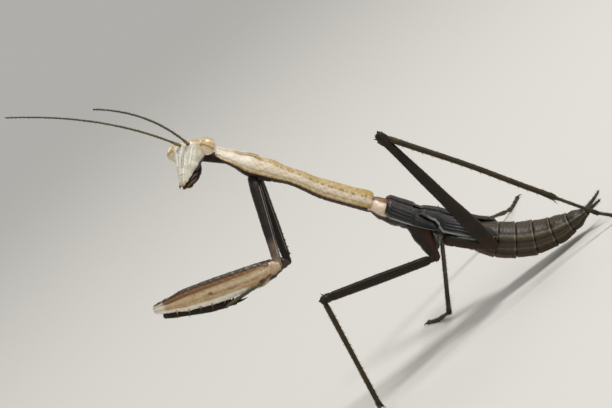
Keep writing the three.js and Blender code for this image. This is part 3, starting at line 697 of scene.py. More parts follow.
# Wing pads: folded wings still in their sheath; brown, drawn slate grey with blue-black cells as painted
# shade, and a pale edge greyed and blued as painted reflection of the sky.
PAD_CUTICLE = Cuticle("pad_cuticle", "3a3836", "2b2b2c", "0e0f13", "8d9691", "3d281d",
                      cloud_mm=0.9, roughness=0.42, wax=0.05, gloss=0.3, striae=1.2, freckle=0.25)
# Abdomen rings: olive and red-brown bands with a soft waxy look, darkened as painted shade.
ABDOMEN_CUTICLE = Cuticle("abdomen_cuticle", "322a1c", "3f3524", "15100b", "6e6a58", "4a2c19",
                          cloud_mm=1.5, roughness=0.45, wax=0.03, gloss=0.25, striae=0.8, flesh=0.02)
# Grasping foreleg: tan blade with a brown upper band and a pale lower edge brightened to ivory as painted
# highlight.
FORELEG_CUTICLE = Cuticle("foreleg_cuticle", "bfa47c", "ab8c60", "33230f", "dcd6c9", "6f4820",
                          cloud_mm=0.9, roughness=0.42, wax=0.18, freckle=0.3, flesh=0.05)
# Upper arm of the grasping leg: grey-brown cuticle, near black above as painted shadow of the shield.
FORE_COXA_CUTICLE = Cuticle("fore_coxa_cuticle", "4b3d33", "5d4d40", "120a06", "a89d8e", "75603a",
                            cloud_mm=1.5, roughness=0.44, wax=0.02, gloss=0.25)
# Soft skin of neck and joints: wrinkled, dark brown made near black as painted shade, and a little
# translucent.
MEMBRANE = Cuticle("joint_membrane", "170d08", "22140c", "0a0503", "6f5c45", "4d2a17",
                   cloud_mm=0.6, roughness=0.55, wax=0.0, gloss=0.2, relief_mm=0.06, flesh=0.05)
EYE_LENSES = CompoundEye()


# ---------------------------------------------------------------- posture
@dataclass(frozen=True)
class Posture:
    """Where the trunk and the head are held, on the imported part's own origin."""

    shift: tuple[float, float]
    trunk_origin: tuple[float, float, float] = (0.0, -1.7, 17.1)
    trunk_turn: tuple[float, float, float] = (177.0, 55.4, 17.0)
    head_centre: tuple[float, float, float] = (32.85, 1.4, 1.2)
    head_turn: tuple[float, float, float] = (35.3, 28.2, -44.3)

    def trunk(self) -> Place:
        """The trunk: x forward, y to the animal's left, z to its back."""
        return Place(attitude(*self.trunk_turn), np.array(self.trunk_origin) + [*self.shift, 0])

    def head(self) -> Place:
        """The head: x out of the face, y to its left, z to the crown."""
        return self.trunk().inner(attitude(*self.head_turn), self.head_centre)

    @classmethod
    def on_frame(cls, eye_centre: Array) -> "Posture":
        """Finds the part's origin.

        Args:
            eye_centre: Centre of the left eye in the head's axes.

        Returns:
            The posture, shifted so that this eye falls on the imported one.
        """
        low, high = (np.array(corner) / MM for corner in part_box("eye_left"))
        gap = (low + high) / 2 - cls((0.0, 0.0)).head().points(eye_centre)
        return cls((float(gap[0]), float(gap[1])))


# ---------------------------------------------------------------- head
@dataclass
class Eye:
    """One compound eye, an upright egg at the side of the head."""

    side: Side
    offset: float = 2.65
    height: float = 0.05
    setback: float = 0.2
    depth: float = 1.2
    width: float = 1.28
    tall: float = 1.25
    lean: float = 14.0

    def place(self) -> Place:
        """Its centre and axes in the head's axes: across, outward and up."""
        lean = -self.side.value * math.radians(self.lean)
        across = np.array([0.0, math.cos(lean), math.sin(lean)])
        top = np.array([0.0, -math.sin(lean), math.cos(lean)])
        centre = np.array([-self.setback, self.side.value * self.offset, self.height])
        return Place(np.column_stack([[1.0, 0, 0], across, top]), centre)

    def nearness(self, points: Array) -> Array:
        """Distance of points from its centre, with its own surface at 1."""
        place = self.place()
        local = (points - place.origin) @ place.axes
        return np.linalg.norm(local / [self.depth, self.width, self.tall], axis=-1)

    def build(self, head: Place) -> None:
        """Builds the eye on the head."""
        latitude = np.radians(np.linspace(-86, 86, 56))[:, None]
        turn = np.linspace(0, 2 * math.pi, 72, endpoint=False)[None, :]
        ring = np.cos(latitude) ** 0.94
        x, y = self.depth * ring * np.cos(turn), self.width * ring * np.sin(turn)
        z = self.tall * np.sin(latitude) + 0 * turn
        local = np.stack([x, y, z], axis=2)
        outward = y * self.side.value
        share = (latitude + math.pi / 2) / math.pi + 0 * turn
        eye = Surface(self.place().points(local), local, share, turn + 0 * latitude)
        eye.mark(
            dark=0.95 * (1 - beyond(x - 0.5 * z, -0.62, 0.2))
            + 0.55 * hump(z + 0.25 * outward, -0.12, 0.09) * (x > -0.6)
            + 0.35 * hump(z + 0.25 * outward, -0.42, 0.07) * (x > -0.6),
            # The pale spot high on the outward face is a painted highlight.
            pale=0.85 * (1 - beyond(z, -0.45, 0.2)) + 0.5 * hump(outward, 0.7, 0.4) * hump(z, 0.45, 0.3),
        )
        name = f"eye_{self.side.word}"
        Skin(head).add(eye).piece(name + "_lens", EYE_LENSES, [name], "eye")


@dataclass
class Head:
    """Head capsule with its face plates, feelers and mouthparts."""

    place: Place
    width: Pairs = ((-5.95, 0.3), (-5.2, 0.72), (-4.2, 1.05), (-2.6, 1.75), (-1, 2.5), (0.2, 2.85),
                    (0.8, 2.5), (1.3, 1.2))
    face: Pairs = ((-5.95, 1.25), (-4.2, 1.42), (-2, 1.45), (0, 1.5), (0.8, 1.1), (1.3, 0.35))
    rear: Pairs = ((-5.95, 0.5), (-4.2, -0.5), (-2.2, -1.25), (0, -1.45), (0.8, -1.1), (1.3, -0.4))
    socket: tuple[float, float] = (0.7, 0.1)
    feeler_radius: float = 0.15
    # Edge behind which the side of the head is near black: darker brown cuticle deepened by painted shade.
    gena: Pairs = ((-5.9, 0.85), (-5, 0.65), (-4, 0.35), (-3, 0.1), (-2, -0.05), (-1, -0.25), (0, -0.55))
    scape_radius: float = 0.24
    scape_length: float = 0.8
    feeler_joint: float = 0.55

    def capsule(self) -> Surface:
        """The capsule from the lip to the crown, with sutures and keels."""
        z = np.concatenate([np.linspace(-5.97, 1.25, 130), [1.3, 1.34, 1.36]])[:, None]
        angle = np.linspace(0, 2 * math.pi, 112, endpoint=False)[None, :]
        width, face, rear = (eased(t, z) for t in (self.width, self.face, self.rear))
        close = np.where(z > 1.3, 1 - ((z - 1.3) / 0.07) ** 2 * 0.75, 1.0)
        front = np.sign(np.sin(angle)) * np.abs(np.sin(angle)) ** 0.86
        x = (face + rear) / 2 + (face - rear) / 2 * front * close
        y = width * np.cos(angle) * close
        points = np.stack([x, y, z + 0 * angle], axis=2)
        share = (z + 5.97) / 7.3 + 0 * angle
        return Surface(points, points.copy(), share, angle + 0 * z)

    def relief(self, shell: Surface) -> Array:
        """Height of the face's keels and grooves.

        Args:
            shell: The plain capsule.

        Returns:
            The height in millimetres at each of its points.
        """
        x, y, z = np.moveaxis(shell.points, 2, 0)
        front = beyond(x, 0.55, 0.25)
        off = np.abs(y)
        upper = between(z, -3.35, -0.35, 0.25)
        inner = 0.42 - 0.05 * (z + 3)
        total = front * upper * (0.13 * hump(off, inner, 0.12) - 0.07 * hump(off, 0, 0.16))
        total += front * between(z, -3.3, -0.2, 0.3) * 0.1 * hump(off, 0.98 + 0.14 * (z + 3), 0.13)
        total += front * between(z, -3.2, -0.6, 0.3) * -0.09 * hump(off, 0.72 + 0.1 * (z + 3), 0.09)
        total += between(z, -4.4, -0.9, 0.3) * -0.09 * hump(off, 1.28 + 0.27 * (z + 4), 0.09)
        total += front * -0.035 * hump(z, -3.42 + 0.25 * off, 0.07) * (off < 1.3)
        total += front * -0.03 * hump(z, -4.55 + 0.15 * off, 0.06) * (off < 1.1)
        total += front * between(z, -4.45, -3.55, 0.12) * 0.1 * hump(off, 0, 0.28)
        total += front * between(z, -5.95, -3.4, 0.2) * (0.07 * hump(off, 0.33, 0.13)
            - 0.06 * hump(off, 0, 0.07))
        total += front * between(z, -5.7, -3.4, 0.2) * -0.05 * hump(off, 0.62 + 0.08 * (z + 4), 0.06)
        ring = np.hypot(off - self.socket[0], z - self.socket[1])
        total += front * (0.14 * hump(ring, 0.43, 0.09) - 0.2 * hump(ring, 0, 0.25))
        for spot_y, spot_z in ((0.0, 0.62), (0.3, 0.86)):
            total += front * 0.11 * hump(np.hypot(off - spot_y, z - spot_z), 0, 0.12)
        crown = beyond(z, 0.75, 0.2)
        total += crown * (-0.06 * hump(off, 0, 0.08) - 0.06 * hump(off, 0.9, 0.1)
            + 0.05 * hump(off, 0.45, 0.2))
        for side in Side:
            total += 0.05 * hump(Eye(side).nearness(shell.points), 1.08, 0.05)
        total += 0.012 * ripple(3 * x + 5 * y, 6 * z, 1.0)
        total -= 0.05 * self.lines(shell)
        return total

    def lines(self, shell: Surface) -> Array:
        """Strength of the fine furrows that run down the face to the lip, darkened as painted shade."""
        x, y, z = np.moveaxis(shell.points, 2, 0)
        off, fall = np.abs(y), 0.1 * (z + 3)
        rows = [(0.17, 0.05, -5.5), (0.5, 0.05, -5.0), (0.86, 0.05, -4.4), (1.2, 0.06, -3.6)]
        return beyond(x, 0.5, 0.25) * sum(
            hump(off, at * (1 + fall), wide) * between(z, low, -0.5, 0.3) for at, wide, low in rows
        )

    def build(self) -> None:
        """Builds head, eyes, feelers and mouthparts."""
        shell = self.capsule()
        relief = self.relief(shell)
        x, y, z = np.moveaxis(shell.points, 2, 0)
        front, off = beyond(x, 0.35, 0.3), np.abs(y)
        ring = np.hypot(off - self.socket[0], z - self.socket[1])
        shell.swell(relief)
        # The grooves and furrows of the face are darkened as painted shade, and its keels are paled as
        # painted highlight.
        shell.mark(
            dark=np.clip(-relief * 3, 0, 0.3) * front + 0.38 * self.lines(shell)
            # Behind the gena edge the head is near black: darker cuticle plus painted shade.
            + 1.0 * (1 - beyond(x, eased(self.gena, z), 0.14))
            + 0.4 * front * hump(ring, 0.1, 0.22) + 0.35 * front * (1 - beyond(z, -5.75, 0.1)),
            pale=0.8 * front * np.clip(relief * 8, 0, 1)
            + 0.45 * front * hump(off, 1.5, 0.5) * between(z, -3.6, -0.8, 0.4),
            warm=0.75 * beyond(z, 0.35, 0.35) + 0.55 * hump(off, 2.1, 0.45) * beyond(z, -1.4, 0.5)
            + 0.8 * front * hump(z, -5.75, 0.4),
        )
        Skin(self.place).add(shell).bristles(shell, 140, 0.2, 11, low=0.05, high=0.95).piece(
            "head_capsule", FACE_CUTICLE, ["head"], "pale_cuticle"
        )
        for side in Side:
            Eye(side).build(self.place)
            self.feeler(side)
        self.mouth()

    def feeler(self, side: Side) -> None:
        """Builds one feeler: scape, pedicel and a long jointed whip."""
        base = np.array([1.75, side.value * self.socket[0], self.socket[1]])
        control, tip = {
            Side.LEFT: (np.array([12.7, 2.4, -0.2]), np.array([24.4, 2.8, -5.4])),
            Side.RIGHT: (np.array([11.0, -6.9, 2.2]), np.array([19.4, -17.2, 0.1])),
        }[side]
        t = np.linspace(0, 1, 2000)[:, None]
        line = base * (1 - t) ** 2 + control * 2 * t * (1 - t) + tip * t * t
        run = np.concatenate([[0], np.cumsum(np.linalg.norm(np.diff(line, axis=0), axis=1))])
        start = base - unit(line[1] - base) * 0.55
        s = np.arange(0, run[-1], 0.09)
        points = np.column_stack([np.interp(s, run, line[:, k]) for k in range(3)])
        points = np.vstack([start, points])
        s = np.concatenate([[-0.55], s])
        whip = self.feeler_radius * (1 - 0.42 * np.clip(s / run[-1], 0, 1))
        joint = (
            1 - 0.16 * hump((s / self.feeler_joint) % 1, 0.0, 0.16)
            + 0.06 * hump((s / self.feeler_joint) % 1, 0.8, 0.2)
        )
        waist = 1 - 0.3 * hump(s, self.scape_length, 0.12)
        scape = self.scape_radius * (1 - 0.35 * hump(s, -0.45, 0.25)) * waist
        pedicel = 0.18 * (1 - 0.25 * hump(s, self.scape_length + 0.62, 0.14))
        radii = np.where(s < self.scape_length, scape,
            np.where(s < self.scape_length + 0.6, pedicel, whip * joint))
        made = tube(points, radii, columns=12)
        s_row = made.lay[..., 0]
        made.mark(
            dark=0.35 * beyond(s_row, 12, 8)
            + 0.4 * hump((s_row / self.feeler_joint) % 1, 0, 0.2) * (s_row > 1.6),
            pale=0.5 * (1 - beyond(s_row, 1.6, 0.4)),
        )
        name = f"antenna_{side.word}"
        Skin(self.place).add(made).bristles(made, 900, 0.16, 20 + side.value, lean=0.9, low=0.1).piece(
            name + "_whip", FEELER_CUTICLE, [name], "olive_cuticle"
        )

    def mouth(self) -> None:
        """Builds mandibles, palps and lower lip behind the face."""
        skin = Skin(self.place)
        t = np.linspace(0, 1, 24)[:, None]
        lip = (np.array([-1.45, 0, -1.9]) * (1 - t) ** 2 + np.array([-1.6, 0, -4.3]) * 2 * t * (1 - t)
               + np.array([0.25, 0, -5.75]) * t * t)
        lobe = tube(lip, np.interp(t[:, 0], (0, 0.15, 0.45, 0.8, 1), (0.95, 1.12, 1.05, 0.7, 0.42)),
            columns=32, flat=0.55)
        lobe.swell(-0.09 * hump(np.abs(np.cos(lobe.angle)), 0, 0.09) - 0.07 * hump(lobe.share, 0.45, 0.03)
                   - 0.06 * hump(lobe.share, 0.72, 0.03))
        # The lower lip and the jaws are darkened as painted shade under the head.
        lobe.mark(dark=0.6 + 0.4 * hump(lobe.share, 0.45, 0.05), warm=0.3 * beyond(lobe.share, 0.7, 0.15))
        skin.add(lobe).bristles(lobe, 80, 0.22, 31)
        for side in Side:
            s = side.value
            for bend in (
                # Mandible, outer jaw and its palp, then the short palp of the lower lip.
                ([[-0.45, 0.98, -3.7], [0.15, 0.86, -4.7], [0.55, 0.22, -5.82]], [0.42, 0.4, 0.12], 0.55,
                    (0.5, 0, 0.4)),
                ([[-0.8, 0.72, -3.9], [-0.5, 0.74, -5.0], [0.05, 0.3, -5.85]], [0.34, 0.3, 0.1], 0.8,
                    (0.6, 0, 0.3)),
                ([[-0.62, 0.95, -4.3], [0.1, 1.28, -5.1], [0.62, 0.66, -6.0]], [0.15, 0.16, 0.1], 1.0,
                    (0.1, 0.45, 0.2)),
                ([[-0.75, 0.4, -5.2], [-0.3, 0.62, -5.75], [0.2, 0.42, -6.0]], [0.12, 0.13, 0.08], 1.0,
                    (0.2, 0.5, 0.2)),
            ):
                knots, radii, flat, marks = bend
                a, b, c = (np.array([k[0], s * k[1], k[2]]) for k in knots)
                u = np.linspace(0, 1, 40)[:, None]
                line = a * (1 - u) ** 2 + b * 2 * u * (1 - u) + c * u * u
                size = np.interp(u[:, 0], (0, 0.5, 1), radii)
                if radii[0] < 0.2:
                    size = size * (1 - 0.28 * hump((u[:, 0] * 4) % 1, 0, 0.14))
                part = tube(line, size, columns=16, flat=flat)
                part.mark(*marks)
                skin.add(part).bristles(part, 40, 0.18, 40 + s)
        skin.piece("mouthparts_jaws", STERNUM_CUTICLE, ["mouthparts"], "dark_cuticle")


@dataclass
class Neck:
    """Soft wrinkled neck between the head and the first plate."""

    trunk: Place
    head: Place
    start: tuple[float, float, float] = (27.6, 0.0, 0.7)
    end: tuple[float, float, float] = (-0.35, 0.0, -0.7)
    radius: float = 0.72
    wrinkle: float = 0.34

    def build(self) -> None:
        """Builds the neck."""
        goal = (self.head.points(self.end) - self.trunk.origin) @ self.trunk.axes
        t = np.linspace(0, 1, 60)[:, None]
        line = np.array(self.start) * (1 - t) + goal * t
        made = tube(line, np.full(60, self.radius), columns=40)
        run = made.lay[..., 0]
        made.swell(0.05 * np.sin(run / self.wrinkle * 2 * math.pi + 0.6 * np.sin(2 * made.angle))
                   + 0.07 * hump(np.abs(np.sin(made.angle)), 0, 0.4) * between(run, 0.6, 3.2, 0.3))
        # Painted shade in the troughs of the wrinkles.
        made.mark(dark=0.5 * hump(np.sin(run / self.wrinkle * 2 * math.pi), -1, 0.6),
                  warm=0.3 * hump(np.abs(np.sin(made.angle)), 0, 0.4))
        Skin(self.trunk).add(made).piece("neck_skin", MEMBRANE, ["neck"], "dark_cuticle")


# ---------------------------------------------------------------- trunk
@dataclass
class Prothorax:
    """The long first segment: a keeled shield above and the breast plate below."""

    trunk: Place
    front: float = 29.3
    back: float = 6.45
    margin: float = -0.15
    width: Pairs = ((6.3, 1.55), (7.4, 1.75), (12.5, 1.7), (15.6, 1.52), (18.5, 1.5), (21.4, 1.9),
                    (23.8, 2.22), (26.2, 1.8), (28.2, 1.5), (29.3, 1.1))
    height: Pairs = ((6.3, 1.45), (7.2, 1.75), (9, 1.6), (12.5, 1.65), (15.6, 1.42), (18.5, 1.25),
                     (21.6, 1.6), (22.5, 1.52), (24.3, 1.75), (26.5, 1.15), (29.3, 0.75))
    sweep: Pairs = ((6.3, 0), (12.7, -0.03), (18.5, 0.66), (24.4, 0.78), (27.3, 1.15), (29.3, 1.3))
    depth: Pairs = ((6.3, 0.9), (12.7, 0.85), (18.5, 0.75), (23, 1.3), (27.4, 0.7))
    groove: float = 23.2
    dot_pitch: float = 1.45
    tooth_pitch: float = 0.72

    def level(self, x: Any) -> Any:
        """Height of the side edges at x."""
        return eased(self.sweep, x) + self.margin

    def shield(self) -> Surface:
        """The plain pronotum: an arch with a flat underside and rolled ends."""
        rim = ((0.08, 0.8), (0.05, 0.94))
        x = np.concatenate([[self.back - d for d, _ in rim], np.linspace(self.back, self.front, 230),
                            [self.front + d for d, _ in reversed(rim)]])[:, None]
        size = np.concatenate([[s for _, s in rim], np.ones(230), [s for _, s in reversed(rim)]])[:, None]
        arc = np.linspace(0, math.pi, 73)[None, :]
        across = np.linspace(-1, 1, 17)[None, 1:-1]
        width, height = eased(self.width, x) * size, eased(self.height, x) * size
        y = np.hstack([width * np.cos(arc), width * across])
        z = np.hstack([height * np.sin(arc) ** 0.9, 0 * width * across]) + self.level(x)
        angle = np.hstack([arc + 0 * x, np.full((len(x), across.shape[1]), 1.5 * math.pi)])
        points = np.stack([x + 0 * y, y, z], axis=2)
        return Surface(points, points.copy(), (x - self.back) / (self.front - self.back) + 0 * y, angle)

    def build(self) -> None:
        """Builds the pronotum and the prosternum."""
        shell = self.shield()
        x = shell.points[..., 0]
        top = shell.angle <= math.pi + 1e-6
        lateral = np.degrees(np.where(shell.angle > math.pi / 2, math.pi - shell.angle, shell.angle))
        lateral = np.where(top, lateral, -20)
        prozone = beyond(x, 23.4, 0.3)
        keel = 0.1 * hump(lateral, 90, 3.2) * (1 - prozone) - 0.07 * hump(lateral, 90, 4) * prozone
        relief = keel * between(x, 7.0, 28.6, 0.3)
        fading = 0.3 + 0.7 * beyond(lateral, 60, 12)
        relief += -0.08 * hump(x, self.groove - 0.006 * (90 - lateral), 0.3) * top * fading
        relief += -0.06 * hump(x, 25.7, 0.3) * hump(lateral, 62, 15)
        relief += (0.1 * hump(lateral, 3, 5) - 0.06 * hump(lateral, 15, 5)) * between(x, 7, 29, 0.3)
        relief += (
            0.07 * hump(x, 6.75, 0.2) * top - 0.06 * hump(x, 7.3, 0.2) * top
            + 0.05 * hump(x, 29.1, 0.14) * top
        )
        relief += 0.028 * ripple(2.4 * x, 0.12 * lateral, 0.7) * top + 0.05 * hump(lateral, 72, 6) * (x < 22)
        shell.swell(relief)
        dot = np.abs((x / self.dot_pitch) % 1 - 0.5) * self.dot_pitch
        dots = hump(np.hypot(dot, (lateral - 50) * 0.028), 0, 0.17) * between(x, 8.5, 23, 0.5)
        dashes = between(ripple(1.9 * x, 0, 2.2), 0.05, 2, 0.2)
        streak = eased(((7, 54), (14, 58), (20, 70), (23, 80)), x)
        band = beyond(lateral, streak + 6, 4)
        # The flat underside of the shield is darkened as painted shade.
        shell.mark(
            dark=0.2 * dots + (0.25 + 0.3 * dashes) * hump(lateral, streak, 9) * (1 - beyond(x, 22, 1.2))
            + 0.6 * hump(lateral, 0, 4) * (x < 28)
            + 0.6 * between(x, 22.5, 27, 0.8) * hump(lateral, 80, 10) + np.where(top, 0, 0.9)
            + 0.25 * hump(lateral, 90, 5) * (x < 22),
            pale=(0.6 + 0.3 * ripple(1.5 * x, 0.1 * lateral, 6.0)) * between(lateral, 16, streak - 8, 7)
            + 0.4 * beyond(x, 24.5, 1.5) * (lateral > 12),
            warm=0.5 * hump(lateral, 6, 5) * (x < 27.5)
            + (0.5 + 0.2 * ripple(2 * x, 0.1 * lateral, 2.0)) * band * (1 - beyond(x, 22, 1.5))
            + 0.45 * (1 - beyond(x, 8.6, 0.8)) + 0.5 * hump(x, 25.6, 0.5) * hump(lateral, 8, 8),
        )
        skin = Skin(self.trunk).add(shell).bristles(shell, 160, 0.16, 51)
        for s in (1, -1):
            for tooth in np.arange(8, 28.4, self.tooth_pitch):
                w, lift = eased(self.width, tooth), self.level(tooth)
                skin.thorn((tooth - 0.04, s * (w + 0.02), lift + 0.07),
                    (tooth + 0.06, s * (w + 0.24), lift + 0.05), 0.075)
        skin.piece("pronotum_shield", PRONOTUM_CUTICLE, ["pronotum"], "pale_cuticle")
        self.breast()

    def breast(self) -> None:
        """Builds the prosternum under the shield."""
        x = np.linspace(self.back + 0.1, 27.4, 150)[:, None]
        angle = np.linspace(0, 2 * math.pi, 56, endpoint=False)[None, :]
        up = np.sin(angle)
        width = eased(self.width, x) - 0.28
        z = self.level(x) - 0.1 + np.where(up > 0, 0.3 * up, (eased(self.depth, x) + 0.15) * up)
        points = np.stack([x + 0 * angle, width * np.cos(angle), z], axis=2)
        plate = Surface(points, points.copy(), (x - x[0]) / (x[-1] - x[0]) + 0 * angle, angle + 0 * x)
        below = np.degrees(np.angle(np.exp(1j * (plate.angle + math.pi / 2))))
        relief = 0.08 * hump(below, 0, 6) - 0.07 * hump(np.abs(below), 52, 6)
        relief += -0.1 * hump(points[..., 0], 20.6, 0.16) - 0.08 * hump(points[..., 0], 13.2, 0.14)
        relief += 0.14 * hump(points[..., 0], 24, 1.2) * hump(np.abs(below), 66, 16)
        relief += 0.03 * ripple(2 * x, 0.09 * below, 3.0)
        plate.swell(relief)
        # Painted shade: darker along the bottom of the plate and at its front under the neck.
        plate.mark(dark=0.4 * hump(below, 0, 40) + 0.4 * beyond(x, 21, 2),
            warm=0.5 * hump(np.abs(below), 70, 12) * (x < 20))
        Skin(self.trunk).add(plate).bristles(plate, 120, 0.2, 52).piece(
            "prosternum_plate", STERNUM_CUTICLE, ["prosternum"], "dark_cuticle"
        )


PTERO_LEVEL = -0.35
PTERO_WIDTH: Pairs = ((-3.8, 1.75), (-1, 1.8), (2.5, 1.85), (4.6, 1.75), (6.2, 1.4))
PTERO_TOP: Pairs = ((-3.8, 1.1), (-1, 1.1), (2.5, 1.2), (4.6, 1.4), (6.2, 1.4))
PTERO_BELLY: Pairs = ((-3.8, 1.75), (-1, 2.0), (2.5, 1.95), (4.6, 1.55), (6.2, 0.95))
WAIST = -3.7


@dataclass
class Pterothorax:
    """Middle and hind thorax, which carry the wing pads and four legs."""

    trunk: Place
    split: float = 1.1

    def ring(self, name: str, node: str, x0: float, x1: float, seed: int) -> None:
        """Builds one thorax segment.

        Args:
            name: Name of the piece.
            node: CAD node it stands for.
            x0: Its rear end.
            x1: Its front end.
            seed: Seed of its hairs.
        """
        x = np.linspace(x0, x1, 70)[:, None]
        angle = np.linspace(0, 2 * math.pi, 72, endpoint=False)[None, :]
        up = np.sin(angle)
        z = PTERO_LEVEL + np.where(up > 0, eased(PTERO_TOP, x) * up, eased(PTERO_BELLY, x) * up)
        points = np.stack([x + 0 * angle, eased(PTERO_WIDTH, x) * np.cos(angle), z], axis=2)
        made = Surface(points, points.copy(), (x - x0) / (x1 - x0) + 0 * angle, angle + 0 * x)
        share, high = made.share, np.degrees(np.arcsin(np.clip(up, -1, 1))) + 0 * x
        relief = -0.13 * hump(share, 0.12, 0.05) - 0.1 * hump(share, 0.9, 0.05)
        relief += (
            -0.1 * hump(high + 45 * (share - 0.5), -20, 5)
            - 0.09 * hump(high - 35 * (share - 0.5), -52, 5)
        )
        relief += 0.12 * hump(share, 0.5, 0.2) * hump(high, -36, 11) + 0.07 * hump(high, 90, 6)
        relief += 0.1 * hump(share, 0.72, 0.1) * hump(high, 32, 12) + 0.02 * ripple(3 * x, 0.1 * high, 1.4)
        made.swell(relief)
        # Painted shade on the lower side and on everything behind x = 3.7, and painted sunlight as pinkish
        # cream on the lit front above.
        made.mark(
            dark=0.85 * (1 - beyond(high, -14, 8)) * (0.7 + 0.3 * share) + 0.4 * hump(share, 0.12, 0.06)
            + 1.0 * (1 - beyond(x, 3.7, 0.5)),
            pale=0.9 * between(high, -16, 62, 9) * beyond(x, 3.9, 0.6),
            warm=0.8 * hump(share, 0.72, 0.12) * hump(high, 32, 13) * (x > 3)
            + 0.5 * between(high, -62, -40, 6),
        )
        Skin(self.trunk).add(made).bristles(made, 90, 0.22, seed).piece(name, THORAX_CUTICLE, [node],
            "dark_cuticle")

    def build(self) -> None:
        """Builds both segments."""
        self.ring("mesothorax_ring", "mesothorax", self.split - 0.1, 6.75, 61)
        self.ring("metathorax_ring", "metathorax", WAIST - 0.1, self.split + 0.05, 62)


@dataclass
class Abdomen:
    """Eight rings that curl up towards the tip, with a pair of feelers there."""

    trunk: Place
    rings: int = 8
    length: float = 22.0
    straight: float = 6.0
    curl: float = 62.0
    level: float = -0.35
    width: Pairs = ((0, 1.75), (4, 2.2), (9, 2.8), (13, 2.85), (17, 2.4), (20, 1.6), (22, 0.75))
    top: Pairs = ((0, 1.1), (4, 1.6), (9, 2.35), (13, 2.3), (17, 1.9), (20, 1.3), (22, 0.6))
    belly: Pairs = ((0, 1.7), (4, 2.15), (9, 2.65), (13, 2.5), (17, 2.0), (20, 1.3), (22, 0.6))

    def midline(self, s: Array) -> tuple[Array, Array]:
        """Points of the midline and its upward axes at distances behind the waist."""
        radius = (self.length - self.straight) / math.radians(self.curl)
        turned = np.maximum(s - self.straight, 0) / radius
        reach = np.clip(s, None, self.straight)
        point = np.stack([WAIST - reach - radius * np.sin(turned), 0 * s, self.level
            + radius * (1 - np.cos(turned))], -1)
        return point, np.stack([np.sin(turned), 0 * s, np.cos(turned)], -1)

    def ring(self, number: int) -> None:
        """Builds one ring: back plate, side fold and belly plate, lapping over the next."""
        pitch = self.length / self.rings
        first = number * pitch
        s = np.concatenate([np.linspace(-0.3, 0.95, 40), [0.98, 1.0, 1.01, 1.0, 0.97]]) * pitch
        lap = np.interp(s / pitch, (-0.3, -0.02, 0.12, 0.8, 0.93, 1.02),
            (-0.3, -0.2, -0.02, 0.02, 0.07, 0.04))
        lap[-3:] = (-0.03, -0.1, -0.2)
        s = first + s
        point, up = self.midline(s)
        angle = np.linspace(0, 2 * math.pi, 88, endpoint=False)
        lift = np.sin(angle)[None, :]
        row = s[:, None]
        high = np.where(lift > 0, eased(self.top, row) + lap[:, None], eased(self.belly, row) + lap[:, None])
        wide = (eased(self.width, row) + lap[:, None]) * np.cos(angle)[None, :]
        points = (
            point[:, None] + wide[..., None] * np.array([0, 1.0, 0])
            + (high * lift)[..., None] * up[:, None]
        )
        lay = np.stack([row + 0 * lift, wide, high * lift], axis=2)
        share = np.clip((row - first) / pitch, 0, 1) + 0 * lift
        made = Surface(points, lay, share, angle[None, :] + 0 * row)
        degrees = np.degrees(np.arcsin(np.clip(lift, -1, 1))) + 0 * row
        relief = 0.09 * hump(degrees, 90, 5) - 0.16 * hump(degrees, -14, 4) + 0.05 * hump(degrees, -6, 3)
        relief += -0.05 * hump(degrees, 46, 3) + 0.02 * ripple(2.5 * row, 0.09 * degrees, number)
        made.swell(relief * np.interp(share, (0, 0.1), (0.4, 1)))
        made.mark(
            dark=0.75 * hump(degrees, 20, 6) + 0.6 * hump(degrees, 58, 7) + 0.5 * hump(share, 0.03, 0.06)
            + 0.7 * hump(degrees, -22, 5),
            pale=0.55 * hump(degrees, 38, 7) + 0.5 * hump(share, 0.97, 0.05) + 0.45 * hump(degrees, -4, 5),
            warm=0.8 * hump(degrees, -38, 10) + 0.5 * hump(degrees, -70, 9),
        )
        skin = Skin(self.trunk).add(made).bristles(made, 110, 0.22, 70 + number, low=0.1)
        if number == self.rings - 1:
            tip, rise = self.midline(np.array([self.length + 0.35]))
            back = np.cross(rise[0], (0, 1.0, 0))
            for lift_by, reach in ((0.35, 0.75), (-0.4, 0.6)):
                line = np.array([tip[0] + rise[0] * lift_by - back * 0.9, tip[0] + rise[0] * lift_by * 0.8
                    + back * reach])
                plate = tube(np.linspace(line[0], line[1], 14), np.linspace(0.62, 0.2, 14), columns=24,
                    flat=0.4)
                skin.add(plate.mark(dark=0.3, warm=0.3))
        skin.piece(f"abdomen_ring_{number + 1}", ABDOMEN_CUTICLE, [f"abdomen_{number + 1}"], "olive_cuticle")

    def cercus(self, side: Side) -> None:
        """Builds one of the jointed feelers at the tip."""
        tip, up = self.midline(np.array([self.length + 0.1]))
        back = np.cross(up[0], (0, 1.0, 0))
        t = np.linspace(0, 1, 60)[:, None]
        line = (
            tip[0] + back * 2.8 * t + np.array([0, side.value, 0]) * (0.36 + 1.05 * t)
            + up[0] * (0.15 + 0.3 * t * t)
        )
        size = 0.31 * (1 - 0.55 * t[:, 0] ** 1.5) * (1 - 0.22 * hump((t[:, 0] * 9) % 1, 0, 0.14))
        made = tube(line, size, columns=16)
        made.mark(dark=0.5 * hump((made.share * 9) % 1, 0, 0.15), pale=0.3 * beyond(made.share, 0.5, 0.3))
        name = f"cercus_{side.word}"
        Skin(self.trunk).add(made).bristles(made, 120, 0.35, 90 + side.value, lean=0.5).piece(
            name + "_jointed", ABDOMEN_CUTICLE, [name], "olive_cuticle"
        )

    def build(self) -> None:
        """Builds the rings and the cerci."""
        for number in range(self.rings):
            self.ring(number)
        for side in Side:
            self.cercus(side)


@dataclass(frozen=True)
class PadShape:
    """Outline of a wing pad: angles down from the midline of the back, in degrees."""

    word: str
    span: tuple[float, float]
    inner: Pairs
    outer: Pairs
    lift: Pairs
    veins: int


